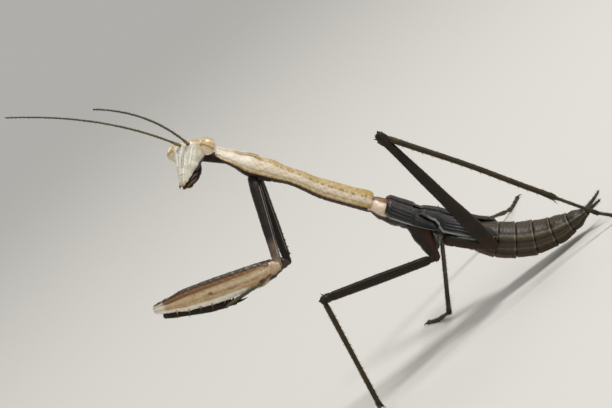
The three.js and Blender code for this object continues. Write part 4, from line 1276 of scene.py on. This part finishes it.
FORE_PAD = PadShape(
    "forewing_pad", (-3.3, 4.4), ((-3.3, 76), (-2.4, 60), (-0.1, 48), (0.8, 8), (4.4, 7)),
    ((-3.3, 88), (-2.4, 98), (1, 103), (3.4, 98), (4.4, 84)), ((-3.3, 0), (4.4, 0)), 7,
)
HIND_PAD = PadShape(
    "hindwing_pad", (-11.6, -0.4), ((-11.6, 44), (-10, 27), (-6, 9), (-0.4, 7)),
    ((-11.6, 54), (-10.4, 68), (-8, 82), (-4.2, 90), (-3.6, 78), (-3.3, 62), (-2.6, 50), (-0.4, 35)),
    ((-11.6, 0), (-6, 0.12), (-3.5, 0.3), (-0.4, 0)), 8,
)


@dataclass
class WingPads:
    """Four wing pads that lie over the back, ribbed by the veins folded inside."""

    trunk: Place
    abdomen: Abdomen
    clear: float = 0.22
    thick: float = 0.5

    def build(self) -> None:
        """Builds both pairs."""
        for shape in (FORE_PAD, HIND_PAD):
            for side in Side:
                self.pad(shape, side)

    def pad(self, shape: PadShape, side: Side) -> None:
        """Builds one pad as a closed plate.

        Args:
            shape: Its outline.
            side: The side it lies on.
        """
        x = np.linspace(*shape.span, 120)[:, None]
        s = WAIST - x
        wide = np.where(x < WAIST, eased(self.abdomen.width, s), eased(PTERO_WIDTH, x))
        tall = np.where(x < WAIST, eased(self.abdomen.top, s), eased(PTERO_TOP, x))
        across = np.linspace(0, 1, 64)[None, :]
        turn = np.radians(eased(shape.inner, x) * (1 - across) + eased(shape.outer, x) * across)
        end = np.minimum(x - shape.span[0], shape.span[1] - x)
        edge = np.sqrt(np.clip(1 - np.abs(2 * across - 1) ** 5, 0, 1)) * np.sqrt(np.clip(end / 0.5, 0.06, 1))
        fan = across + 0.1 * (x - shape.span[1]) / (shape.span[1] - shape.span[0]) * (1 - across)
        veins = hump((fan * shape.veins) % 1, 0.5, 0.16) * between(across, 0.1, 0.86, 0.05) * np.clip(
            end / 0.9 - 0.2, 0, 1
        )
        outer = (
            self.clear + 0.08 + (self.thick - 0.08) * edge + 0.08 * veins * edge
            + 0.05 * hump(across, 0.9, 0.05)
        )
        inner = self.clear + 0.1 * (1 - edge)
        rows = []
        for off in (outer, inner):
            off = off + eased(shape.lift, x)
            rows.append(np.stack([
                x + 0 * turn, side.value * (wide + off) * np.sin(turn), PTERO_LEVEL
                + (tall + off) * np.cos(turn)
            ], axis=2))
        points = np.concatenate([rows[0], rows[1][:, ::-1]], axis=1)
        place = np.hstack([across, across[:, ::-1]]) + 0 * x
        vein = np.hstack([veins, 0 * veins])
        lay = np.stack([points[..., 0], place * 3.2, 0.3 * points[..., 2]], axis=2)
        made = Surface(points, lay, (x - shape.span[0]) / (shape.span[1] - shape.span[0]) + 0 * place, place)
        # The dark band is the pad's pattern deepened by painted shade; the pale outer edge is the pad's pale
        # margin with painted sky reflection, and the warm front end of the fore pad is a painted penumbra.
        root = beyond(made.share, 0.86, 0.08)
        made.mark(
            dark=0.9 * between(place, 0.4, 0.83, 0.04) * (1 - 0.75 * vein) + 0.35 * hump(place, 0.2, 0.06),
            pale=1.0 * beyond(place, 0.86, 0.03) * (1 - 0.6 * root) + 0.25 * vein,
            warm=0.6 * root * (shape is FORE_PAD),
        )
        name = f"{shape.word}_{side.word}"
        Skin(self.trunk).add(made).piece(name + "_sheath", PAD_CUTICLE, [name], "wing_pad")


# ---------------------------------------------------------------- legs
class LegPair(Enum):
    """The two pairs of walking legs."""

    MIDDLE = "midleg"
    HIND = "hindleg"


@dataclass(frozen=True)
class LegShape:
    """Lengths and sections of a walking leg."""

    coxa: float
    femur: float
    tibia: float
    tarsus: tuple[float, ...]
    bend: tuple[float, ...]
    coxa_form: Sequence[Sequence[float]]
    femur_form: Sequence[Sequence[float]]
    tibia_form: Sequence[Sequence[float]]


LEG_SHAPES = {
    LegPair.MIDDLE: LegShape(
        5.4, 17.5, 16.6, (3.6, 1.5, 1.1, 0.8, 1.5), (1, 0.8, 0.4, 0, 0),
        ((0, 1.05, 1.5), (0.3, 1.05, 1.5), (0.6, 0.9, 1.12), (0.9, 0.62, 0.8), (1, 0.55, 0.64)),
        ((0, 0.45, 0.5), (0.12, 0.52, 0.62), (0.5, 0.52, 0.66), (0.9, 0.44, 0.6), (1, 0.42, 0.55)),
        ((0, 0.4, 0.45), (0.06, 0.33, 0.38), (0.6, 0.3, 0.33), (0.94, 0.32, 0.35), (1, 0.38, 0.4)),
    ),
    LegPair.HIND: LegShape(
        6.6, 23.8, 25.8, (6.4, 2.5, 1.7, 1.2, 1.8), (1, 0.8, 0.3, 0, 0),
        ((0, 0.72, 0.85), (0.4, 0.7, 0.85), (1, 0.55, 0.6)),
        ((0, 0.55, 0.7), (0.07, 0.68, 1.05), (0.2, 0.68, 1.1), (0.5, 0.58, 0.84), (0.9, 0.45, 0.62),
         (0.97, 0.54, 0.78), (1, 0.48, 0.68)),
        ((0, 0.42, 0.46), (0.05, 0.34, 0.38, 0.06), (0.5, 0.31, 0.35, 0.28), (0.9, 0.31, 0.35, 0.08),
         (1, 0.38, 0.4)),
    ),
}


@dataclass
class WalkingLeg:
    """A walking leg from its socket on the trunk to its claws on the floor.

    The directions are [azimuth, elevation] in degrees on the floor's axes.
    """

    trunk: Place
    pair: LegPair
    side: Side
    base: tuple[float, float, float]
    coxa: tuple[float, float]
    femur: tuple[float, float]
    tibia: tuple[float, float]
    foot: float
    foot_height: float = 0.22
    tarsus_radius: float = 0.3

    def build(self) -> None:
        """Builds coxa, femur, tibia and foot."""
        shape = LEG_SHAPES[self.pair]
        name = f"{self.pair.value}_{self.side.word}"
        ways = [bearing(*pair) for pair in (self.coxa, self.femur, self.tibia)]
        joints = [self.trunk.points(self.base)]
        for way, length in zip(ways, (shape.coxa, shape.femur, shape.tibia)):
            joints.append(joints[-1] + way * length)
        hinge = np.cross(ways[1], ways[2])
        places = [lay_along(joint, way, hinge) for joint, way in zip(joints, ways)]
        seed = 100 + 10 * list(LegPair).index(self.pair) + self.side.value
        self.hip(name, places[0], shape, seed)
        self.thigh(name, places[1], shape, seed)
        self.shin(name, places[2], shape, seed)
        self.tread(name, joints[3], shape, seed)

    def hip(self, name: str, place: Place, shape: LegShape, seed: int) -> None:
        """Builds the coxa and the soft ring round its joint."""
        made = limb(shape.coxa, shape.coxa_form, columns=40, square=2.4)
        made.swell(keels(made.angle, (60, 150, 240, 330), 0.14, 0.06) - 0.09 * hump(made.share, 0.9, 0.02)
                   - 0.06 * hump(made.share, 0.16, 0.03)
                   + 0.02 * ripple(2 * made.lay[..., 0], made.angle, seed))
        made.mark(dark=0.35 * hump(made.share, 0.9, 0.05), warm=0.75 * hump(np.sin(made.angle), -0.2, 0.5),
                  pale=0.3 * keels(made.angle, (60, 240), 0.12, 1.0))
        Skin(place).add(made).bristles(made, 120, 0.25, seed + 1).piece(
            name + "_hip", LEG_CUTICLE, [name + "_coxa"], "dark_cuticle"
        )

    def thigh(self, name: str, place: Place, shape: LegShape, seed: int) -> None:
        """Builds the trochanter and femur with its keels and knee lobes."""
        made = limb(shape.femur, shape.femur_form, columns=44, step=0.17, square=2.5)
        share = made.share
        made.swell(
            keels(made.angle, (35, 90, 145, 215, 270, 325), 0.13, 0.06) * between(share, 0.06, 0.97, 0.02)
            - 0.1 * hump(share, 0.055, 0.008) + 0.07 * hump(share, 0.965, 0.014)
            - 0.06 * hump(share, 0.93, 0.01)
            + 0.015 * ripple(1.5 * made.lay[..., 0], 2 * made.angle, seed)
        )
        keel = keels(made.angle, (35, 145, 215, 325), 0.16, 1.0)
        made.mark(
            dark=0.45 * hump(share, 0.055, 0.01) + 0.35 * between(share, 0.1, 0.85, 0.06) * (1 - keel),
            warm=0.6 * keels(made.angle, (90, 270), 0.35, 1.0) + 0.5 * between(share, -1, 0.06, 0.01),
            pale=0.18 * keel * (share > 0.1) + 0.25 * hump(share, 0.965, 0.02),
        )
        skin = Skin(place).add(made)
        end, _, tall = shape.femur, *shape.femur_form[-1][1:3]
        for s in (1, -1):
            lobe = tube(np.linspace((end - 1.0, s * 0.36, 0.0), (end + 0.5, s * 0.42, -0.06), 12),
                        [0.16, 0.26, 0.34, 0.4, 0.42, 0.42, 0.4, 0.36, 0.3, 0.24, 0.17, 0.08], columns=18,
                        flat=1.25)
            skin.add(lobe.mark(dark=0.3, warm=0.3))
        skin.thorn((end - 0.35, 0, tall * 0.7), (end + 0.1, 0, tall + 0.38), 0.14, marks=(0.4, 0, 0.2))
        skin.bristles(made, 420, 0.26, seed + 2, low=0.06)
        skin.piece(name + "_thigh", LEG_CUTICLE, [name + "_femur"], "dark_cuticle")

    def shin(self, name: str, place: Place, shape: LegShape, seed: int) -> None:
        """Builds the tibia with its rows of short spines and the spurs at its end."""
        made = limb(shape.tibia, shape.tibia_form, columns=36, step=0.17, square=2.4)
        share = made.share
        made.swell(
            keels(made.angle, (45, 135, 225, 315), 0.16, 0.045) * between(share, 0.04, 0.97, 0.02)
            + 0.08 * hump(share, 0.012, 0.012) - 0.07 * hump(share, 0.045, 0.012)
            + 0.05 * hump(share, 0.985, 0.01)
        )
        made.mark(
            dark=0.6 * (1 - beyond(share, 0.06, 0.03)) + 0.35 * hump((share * 3.1) % 1, 0.5, 0.16)
            + 0.5 * beyond(share, 0.95, 0.02),
            pale=0.45 * keels(made.angle, (45, 135), 0.2, 1.0) + 0.2 * hump(share, 0.08, 0.02),
            warm=0.3 * keels(made.angle, (225, 315), 0.3, 1.0),
        )
        skin = Skin(place).add(made)
        half = np.array([[s[0], s[2]] for s in shape.tibia_form])
        drift = np.array([[s[0], s[3] if len(s) > 3 else 0] for s in shape.tibia_form])
        for s in (1, -1):
            for t in np.arange(0.14, 0.95, 0.055):
                low, off = eased(half, t), eased(drift, t)
                x = t * shape.tibia + 0.2 * s
                skin.thorn((x, s * 0.2, off - low * 0.7), (x + 0.32, s * 0.34, off - low - 0.16), 0.05)
            skin.thorn((shape.tibia - 0.15, s * 0.22, -0.25), (shape.tibia + 0.85, s * 0.42, -0.62), 0.1)
        skin.bristles(made, 700, 0.28, seed + 3, low=0.03)
        skin.piece(name + "_shin", SHIN_CUTICLE, [name + "_tibia"], "dark_cuticle")

    def steps(self, heel: Array, shape: LegShape) -> list[Array]:
        """Points of the foot from the heel to the toe, laid down to the floor."""
        drop = heel[2] - self.foot_height
        low, high = 0.0, 89.0
        for _ in range(40):
            steep = (low + high) / 2
            fall = sum(n * math.sin(math.radians(steep * b)) for n, b in zip(shape.tarsus, shape.bend))
            low, high = (steep, high) if fall < drop else (low, steep)
        points = [heel]
        for length, b in zip(shape.tarsus, shape.bend):
            points.append(points[-1] + bearing(self.foot, -low * b) * length)
        return points

    def tread(self, name: str, heel: Array, shape: LegShape, seed: int) -> None:
        """Builds the five joints of the foot, their pads and the two claws."""
        points = self.steps(heel, shape)
        skin = Skin(FLOOR_AXES)
        for i, (a, b) in enumerate(zip(points, points[1:])):
            last = i == len(points) - 2
            n = max(int(np.linalg.norm(b - a) / 0.12), 8)
            t = np.linspace(0, 1, n)
            widen = 0.72 + 0.36 * beyond(t, 0.78, 0.22) if not last else 0.7 + 0.3 * t
            size = self.tarsus_radius * widen
            made = tube(a + np.outer(t, b - a), size, columns=22)
            made.swell(keels(made.angle, (60, 120), 0.2, 0.02))
            made.mark(dark=0.6 * beyond(made.share, 0.86, 0.08), pale=0.35 * hump(made.share, 0.3, 0.25),
                warm=0.15)
            skin.add(made).bristles(made, 40 + int(30 * np.linalg.norm(b - a)), 0.24, seed + 4 + i)
            if not last:
                way = unit(b - a)
                pad = tube(np.linspace(b - way * 0.5 - UP * 0.12, b + way * 0.22 - UP * 0.14, 10),
                           [0.1, 0.16, 0.2, 0.22, 0.23, 0.23, 0.22, 0.2, 0.15, 0.08], columns=16, flat=0.8)
                skin.add(pad.mark(pale=0.7))
        toe, onward, sideways = points[-1], bearing(self.foot, 0), bearing(self.foot + 90, 0)
        for s in (1, -1):
            root = toe + onward * -0.1 + sideways * 0.08 * s + UP * 0.05
            skin.thorn(root, toe + onward * 0.85 + sideways * 0.52 * s - UP * 0.16, 0.15,
                       bend=sideways * 0.12 * s + UP * 0.16, marks=(0.9, 0, 0))
        skin.piece(name + "_foot", SHIN_CUTICLE, [name + "_tarsus"], "dark_cuticle")


@dataclass
class GraspingLeg:
    """A foreleg folded for waiting: the spined shin lies back under the blade of the femur.

    The directions are [azimuth, elevation] in degrees on the floor's axes. In the blade's axes
    x runs to the knee and z to its upper edge.
    """

    trunk: Place
    side: Side
    base: tuple[float, float, float]
    coxa: tuple[float, float]
    femur: tuple[float, float]
    coxa_length: float = 13.2
    trochanter_length: float = 1.5
    femur_length: float = 16.3
    tibia_length: float = 8.2
    claw: float = 1.8
    # Share of the coxa in painted shadow on each side, from its base; past 1 it is dark to its end.
    left_shadow_end: float = 0.74
    right_shadow_end: float = 1.5
    knee: tuple[float, float, float] = (-0.9, 0.0, -1.3)
    fold: float = 10.5
    tarsus_knots: Sequence[Sequence[float]] = ((7.1, 0.8, -2.95), (5.3, 0.95, -2.1), (1.6, 0.88, -1.6))
    blade: Sequence[Sequence[float]] = (
        (0, 0.55, 1.0, -0.1), (0.05, 0.62, 1.35, -0.2), (0.2, 0.72, 1.72, -0.42), (0.5, 0.72, 1.78, -0.42),
        (0.72, 0.66, 1.6, -0.3), (0.9, 0.52, 1.05, -0.2), (1, 0.42, 0.68, -0.1),
    )
    coxa_form: Sequence[Sequence[float]] = (
        (0, 0.6, 0.7), (0.12, 0.72, 0.8), (0.5, 0.66, 0.72), (0.9, 0.55, 0.58), (1, 0.5, 0.52)
    )
    tibia_form: Sequence[Sequence[float]] = ((0, 0.3, 0.45), (0.15, 0.32, 0.55), (0.75, 0.32, 0.6),
        (1, 0.27, 0.4))

    def build(self) -> None:
        """Builds the five pieces of the leg."""
        name = f"foreleg_{self.side.word}"
        base, down, out = self.trunk.points(self.base), bearing(*self.coxa), bearing(*self.femur)
        hint = np.array([0.0, -1.0, 0.0])
        elbow = base + down * self.coxa_length
        start = elbow + out * self.trochanter_length
        place = lay_along(start, out, hint)
        self.upper_arm(name, lay_along(base, down, hint))
        self.elbow(name, lay_along(elbow, out, hint))
        self.blade_piece(name, place)
        angle = math.radians(self.fold)
        fold = np.array([-math.cos(angle), 0.0, -math.sin(angle)])
        inner = lay_along(np.array([self.femur_length, 0, 0]) + self.knee, fold, np.array([0.0, 1.0, 0.0]))
        self.shin(name, place.inner(inner.axes, inner.origin))
        self.foot(name, place)

    def upper_arm(self, name: str, place: Place) -> None:
        """Builds the coxa, three-edged with small teeth down the edge away from the blade."""
        made = limb(self.coxa_length, self.coxa_form, columns=48, step=0.17, square=2.5)
        share = made.share
        relief = keels(made.angle, (40, 140, 270), 0.16, 0.08) * between(share, 0.05, 0.96, 0.03)
        relief += (
            0.02 * ripple(1.6 * made.lay[..., 0], 2 * made.angle, 1.1)
            - 0.08 * hump(share, 0.955, 0.012)
        )
        made.swell(relief)
        edge = keels(made.angle, (40, 140), 0.15, 1.0)
        line = keels(made.angle, (215, 325), 0.1, 1.0) * between(share, 0.1, 0.9, 0.04)
        shadow_end = self.left_shadow_end if self.side is Side.LEFT else self.right_shadow_end
        # Painted shadow of the shield darkens the coxa from its base down; the pale line down it is a painted
        # highlight on its ridge, and the lit part below the shadow is paled as painted light.
        made.mark(
            dark=(1 - beyond(share, shadow_end, 0.1)) * (1 - 0.2 * edge) * (1 - 0.85 * line)
            + 0.3 * keels(made.angle, (250,), 0.5, 1.0),
            pale=0.9 * line + 0.4 * beyond(share, shadow_end + 0.16, 0.1),
            warm=0.7 * keels(made.angle, (270,), 0.3, 1.0) * beyond(share, 0.6, 0.1)
            + 0.3 * hump(share, 0.03, 0.05),
        )
        skin = Skin(place).add(made).bristles(made, 260, 0.2, 140 + self.side.value)
        for t in np.arange(0.1, 0.93, 0.075):
            skin.thorn((t * self.coxa_length, 0, -0.62), (t * self.coxa_length + 0.15, 0, -0.86), 0.09,
                marks=(0.8, 0, 0))
        skin.piece(name + "_upper_arm", FORE_COXA_CUTICLE, [name + "_coxa"], "dark_cuticle")

    def elbow(self, name: str, place: Place) -> None:
        """Builds the trochanter."""
        form = ((0, 0.52, 0.54), (0.5, 0.58, 0.75), (1, 0.56, 0.95, -0.1))
        made = limb(self.trochanter_length, form, columns=44, step=0.07, square=2.3)
        made.swell(-0.1 * hump(made.share, 0.86, 0.05) + 0.06 * hump(made.share, 0.35, 0.15))
        left = self.side is Side.LEFT
        # The left trochanter is paled as painted light and the right one darkened as painted shade.
        made.mark(pale=0.3 if left else 0.0, dark=0.5 * hump(made.share, 0.86, 0.06) + (0.0 if left else 1.0),
                  warm=0.5 * hump(np.sin(made.angle), -1, 0.5))
        Skin(place).add(made).bristles(made, 40, 0.2, 150).piece(
            name + "_elbow", FORELEG_CUTICLE, [name + "_trochanter"], "foreleg_tan"
        )

    def blade_piece(self, name: str, place: Place) -> None:
        """Builds the femur: a deep blade, grooved below, with its banding and spines."""
        made = limb(self.femur_length, self.blade, columns=88, step=0.12, square=2.7)
        share, angle, x = made.share, made.angle, made.lay[..., 0]
        height = np.array([[s[0], s[2]] for s in self.blade])
        drift = np.array([[s[0], s[3]] for s in self.blade])
        v = (made.lay[..., 2] - eased(drift, share)) / eased(height, share)
        body = between(share, 0.04, 0.97, 0.03)
        relief = 0.03 * hump(v, 0.99, 0.05) - 0.04 * hump(v, 0.72, 0.05) + 0.05 * hump(v, 0.55, 0.07)
        relief += 0.05 * hump(v, -0.1, 0.05) - 0.05 * hump(v, -0.2, 0.05) + 0.05 * hump(v, -0.72, 0.08)
        relief += 0.03 * ripple(1.6 * x, 5 * v, 0.4)
        groove = -0.16 * hump(np.sin(angle), -1, 0.05) * between(share, 0.3, 0.95, 0.03)
        made.swell(relief * body + groove + 0.06 * hump(share, 0.965, 0.02) - 0.06 * hump(share, 0.93, 0.012)
                   - 0.09 * hump(share, 0.03, 0.01))
        upper = beyond(v, 0.42 + 0.22 * (0.5 - share), 0.13)
        dash = between(ripple(1.7 * x, 3 * v, 5.0), 0.1, 2, 0.25)
        line = hump(v, -0.12 + 0.02 * x / 8, 0.055) * between(share, 0.12, 0.9, 0.05)
        made.mark(
            dark=1.0 * beyond(v, 0.8, 0.08) + 0.3 * upper * dash
            + 0.75 * line * between(ripple(2.6 * x, 0, 1.0), -0.35, 2, 0.2)
            + 0.8 * hump(x, 8.6, 0.35) * hump(v, 0.02, 0.16)
            + 0.35 * hump(x + 1.4 * v, 0.35, 0.35) * between(v, -0.8, 0.1, 0.1)
            + 0.3 * hump(x, 5.6, 0.7) * hump(v, -0.25, 0.14)
            + 0.8 * (1 - beyond(v, -0.6, 0.15)) * (1 - beyond(share, 0.12, 0.04)),
            # The pale lower band is pale cuticle brightened as a painted highlight.
            pale=0.85 * (1 - beyond(v, -0.5, 0.12)) * beyond(share, 0.2, 0.05)
            + 0.6 * beyond(share, 0.93, 0.04)
            + 0.55 * hump(v, 0.15, 0.22) * (1 - 0.5 * share),
            warm=0.85 * upper + 0.25 * hump(v, 0.3, 0.15) * share,
        )
        skin = Skin(place).add(made).bristles(made, 260, 0.18, 160 + self.side.value)
        self.spines(skin, height, drift)
        skin.piece(name + "_blade", FORELEG_CUTICLE, [name + "_femur"], "foreleg_tan")

    def spines(self, skin: Skin, height: Array, drift: Array) -> None:
        """Adds the blade's spines: four strong outer ones, a long inner row and three in the groove.

        Args:
            skin: The blade they grow from.
            height: Half-height of the blade along it.
            drift: Shift of its middle along it.
        """
        outer = [(t, 0.72) for t in np.linspace(0.54, 0.84, 4)]
        inner = [(t, 0.75 if i % 2 else 0.4) for i, t in enumerate(np.linspace(0.5, 0.9, 13))]
        for s, row in ((self.side.value, outer), (-self.side.value, inner)):
            for t, long in row:
                x, half, shift = t * self.femur_length, eased(height, t), eased(drift, t)
                skin.thorn((x, s * 0.42, shift - half * 0.72), (x + 0.28, s * 0.84, shift - half - long),
                           0.15, bend=(-0.05, 0.03 * s, 0), marks=(1.0, 0, 0))
        for t in (0.44, 0.47, 0.5):
            x, half, shift = t * self.femur_length, eased(height, t), eased(drift, t)
            skin.thorn((x, 0, shift - half * 0.8), (x + 0.5, 0.1, shift - half - 0.45), 0.15)

    def shin(self, name: str, place: Place) -> None:
        """Builds the tibia, toothed along the blade and ending in the long claw."""
        made = limb(self.tibia_length, self.tibia_form, columns=32, step=0.12, square=2.4)
        made.swell(keels(made.angle, (40, 140, 220, 320), 0.16, 0.04) * between(made.share, 0.05, 0.97, 0.03))
        # The folded shin is darkened as painted shade under the blade, on the near-black leg cuticle.
        made.mark(dark=0.45, warm=0.7 * keels(made.angle, (40, 140), 0.3, 1.0),
            pale=0.35 * (1 - beyond(made.share, 0.06, 0.04)))
        skin = Skin(place).add(made).bristles(made, 160, 0.18, 170 + self.side.value)
        for s in (1, -1):
            for t in np.linspace(0.18, 0.95, 11):
                x = t * self.tibia_length
                skin.thorn((x, s * 0.2, -0.3), (x + 0.26, s * 0.3, -0.72), 0.08)
        skin.thorn((self.tibia_length - 0.2, 0, -0.02), (self.tibia_length + self.claw, 0, -0.35), 0.27,
                   bend=(0, 0, 0.12), marks=(0.9, 0, 0.2))
        skin.piece(name + "_shin", LEG_CUTICLE, [name + "_tibia"], "dark_cuticle")

    def foot(self, name: str, place: Place) -> None:
        """Builds the slender tarsus that lies back along the blade."""
        out = self.side.value
        heel, bend, goal = (np.array([x, out * y, z]) for x, y, z in self.tarsus_knots)
        skin = Skin(place)
        cuts = (0, 0.42, 0.6, 0.74, 0.84, 1.0)
        for a, b in zip(cuts, cuts[1:]):
            t = np.linspace(a, b, 18)
            size = 0.21 * (0.78 + 0.32 * beyond(np.linspace(0, 1, 18), 0.75, 0.25))
            u = t[:, None]
            joint = tube(heel * (1 - u) ** 2 + bend * 2 * u * (1 - u) + goal * u * u, size, columns=16)
            joint.mark(dark=0.5 * beyond(joint.share, 0.85, 0.1), pale=0.2)
            skin.add(joint).bristles(joint, 40, 0.2, 180 + int(100 * a) + out)
        way = unit(goal - bend)
        for s in (1, -1):
            skin.thorn(goal, goal + way * 0.62 + np.array([0, 0.22 * s, -0.05]), 0.1,
                bend=(0, 0.05 * s, 0.08))
        skin.piece(name + "_foot", FEELER_CUTICLE, [name + "_tarsus"], "dark_cuticle")


# ---------------------------------------------------------------- studio
@dataclass(frozen=True)
class SoftFloor:
    """Matt painted floor that pales into the backdrop with distance."""

    name: str = "studio_floor"
    colour: str = "cfcdc8"
    fade_from: float = 0.12
    fade_to: float = 0.75

    def material(self) -> bpy.types.Material:
        """The finish as a material."""
        made = bpy.data.materials.new(self.name)
        made.use_nodes = True
        tree = made.node_tree
        tree.nodes.clear()
        spot = add_node(tree, "ShaderNodeTexCoord")["Object"]
        reach = add_node(tree, "ShaderNodeVectorMath", {0: spot}, operation="LENGTH")["Value"]
        fade = add_node(tree, "ShaderNodeMapRange", {0: reach, 1: self.fade_from, 2: self.fade_to},
            interpolation_type="SMOOTHSTEP")
        paint = add_node(tree, "ShaderNodeBsdfPrincipled",
            {"Base Color": linear(self.colour), "Roughness": 0.9, "Specular IOR Level": 0.2})
        clear = add_node(tree, "ShaderNodeBsdfTransparent")
        mixed = add_node(tree, "ShaderNodeMixShader", {0: fade[0], 1: paint[0], 2: clear[0]})
        add_node(tree, "ShaderNodeOutputMaterial", {"Surface": mixed[0]})
        return made


@dataclass
class Studio:
    """Pale floor, soft lights and the camera."""

    centre: tuple[float, float, float]
    shift: tuple[float, float]
    floor_radius: float = 0.9
    backdrop: str = "dddbd6"
    backdrop_strength: float = 0.6
    lens: float = 189.1
    camera_at: tuple[float, float, float] = (-10.7, -444.44, 98.3)
    camera_right: tuple[float, float, float] = (0.7660, -0.1006, -0.6349)
    camera_up: tuple[float, float, float] = (0.6428, 0.1198, 0.7566)

    def build(self) -> None:
        """Builds everything round the animal."""
        self.floor()
        self.light("key_light", (0.72, -0.22, 0.9), 0.6, 0.18, 3.0)
        self.light("fill_light", (-0.6, -0.9, 0.3), 0.6, 0.5, 0.5)
        self.light("rim_light", (-0.35, 0.7, 0.8), 0.6, 0.3, 0.8)
        self.world()
        self.camera()

    def floor(self) -> None:
        """Builds the floor disc at the level of the feet."""
        mesh = bpy.data.meshes.new("floor")
        shape = bmesh.new()
        bmesh.ops.create_circle(shape, cap_ends=True, segments=96, radius=self.floor_radius)
        shape.to_mesh(mesh)
        shape.free()
        mesh.materials.append(SoftFloor().material())
        floor = bpy.data.objects.new("floor", mesh)
        bpy.context.scene.collection.objects.link(floor)
        floor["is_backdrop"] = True

    def light(self, name: str, way: Sequence[float], distance: float, size: float, power: float) -> None:
        """Adds a square soft light that looks at the animal.

        Args:
            name: Its name.
            way: Direction from the animal to the light.
            distance: How far off it is, in metres.
            size: Its width in metres.
            power: Its power in watts.
        """
        lamp = bpy.data.lights.new(name, "AREA")
        lamp.energy, lamp.size = power, size
        made = bpy.data.objects.new(name, lamp)
        bpy.context.scene.collection.objects.link(made)
        back = unit(way)
        side = unit(np.cross(UP, back))
        axes = np.column_stack([side, np.cross(back, side), back])
        turn = Matrix([[*axes[i], (np.array(self.centre) + back * distance)[i]] for i in range(3)]
            + [[0, 0, 0, 1]])
        made.matrix_world = turn

    def world(self) -> None:
        """Sets the even backdrop, and the plain colour curve that keeps darks dark."""
        bpy.context.scene.view_settings.view_transform = "Standard"
        world = bpy.data.worlds.new("backdrop")
        world.use_nodes = True
        tree = world.node_tree
        tree.nodes.clear()
        glow = add_node(tree, "ShaderNodeBackground",
            {"Color": linear(self.backdrop), "Strength": self.backdrop_strength})
        add_node(tree, "ShaderNodeOutputWorld", {"Surface": glow[0]})
        bpy.context.scene.world = world

    def camera(self) -> None:
        """Sets the camera, turned with the animal's level."""
        data = bpy.data.cameras.new("camera")
        data.lens, data.sensor_width = self.lens, 36.0
        data.clip_start, data.clip_end = 0.01, 20.0
        right, up = unit(self.camera_right), unit(self.camera_up)
        axes = np.column_stack([right, up, np.cross(right, up)])
        at = (np.array(self.camera_at) + [*self.shift, 0]) * MM
        made = bpy.data.objects.new("camera", data)
        made.matrix_world = Matrix([[*axes[i], at[i]] for i in range(3)] + [[0, 0, 0, 1]])
        bpy.context.scene.collection.objects.link(made)
        bpy.context.scene.camera = made


def main() -> None:
    """Builds the whole mantis and its studio."""
    logging.basicConfig(level=logging.INFO, format="%(name)s %(message)s", force=True)
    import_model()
    cad_low, cad_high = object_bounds()
    posture = Posture.on_frame(Eye(Side.LEFT).place().origin)
    trunk, head = posture.trunk(), posture.head()
    abdomen = Abdomen(trunk)
    parts = [
        Head(head),
        Neck(trunk, head),
        Prothorax(trunk),
        Pterothorax(trunk),
        abdomen,
        WingPads(trunk, abdomen),
        GraspingLeg(trunk, Side.LEFT, (23.4, 1.5, -0.5), (-129, -53.5), (180, 20.5)),
        GraspingLeg(trunk, Side.RIGHT, (23.15, -1.4, -0.92), (-153.5, -68.5), (180, 19.8)),
        WalkingLeg(trunk, LegPair.MIDDLE, Side.LEFT, (-0.5, 1.3, -0.65), (-147.5, -77.7), (-166, 21.5),
            (-152, -76.5), -112),
        WalkingLeg(trunk, LegPair.MIDDLE, Side.RIGHT, (-0.5, -1.3, -0.75), (108.6, -74.8), (77, 1),
            (-131, -39), 112),
        WalkingLeg(trunk, LegPair.HIND, Side.LEFT, (-5.2, 2.2, -1.3), (-27.5, -43), (-117, 76), (1, -59.5),
            -9),
        WalkingLeg(trunk, LegPair.HIND, Side.RIGHT, (-5.2, -2.2, -1.3), (4, -46), (122, 31), (50, -41), 62),
    ]
    for part in parts:
        part.build()
        LOG.info("%s built", type(part).__name__)
    middle = (cad_low + cad_high) / 2
    Studio(tuple(middle), posture.shift).build()


if __name__ == "__main__":
    main()
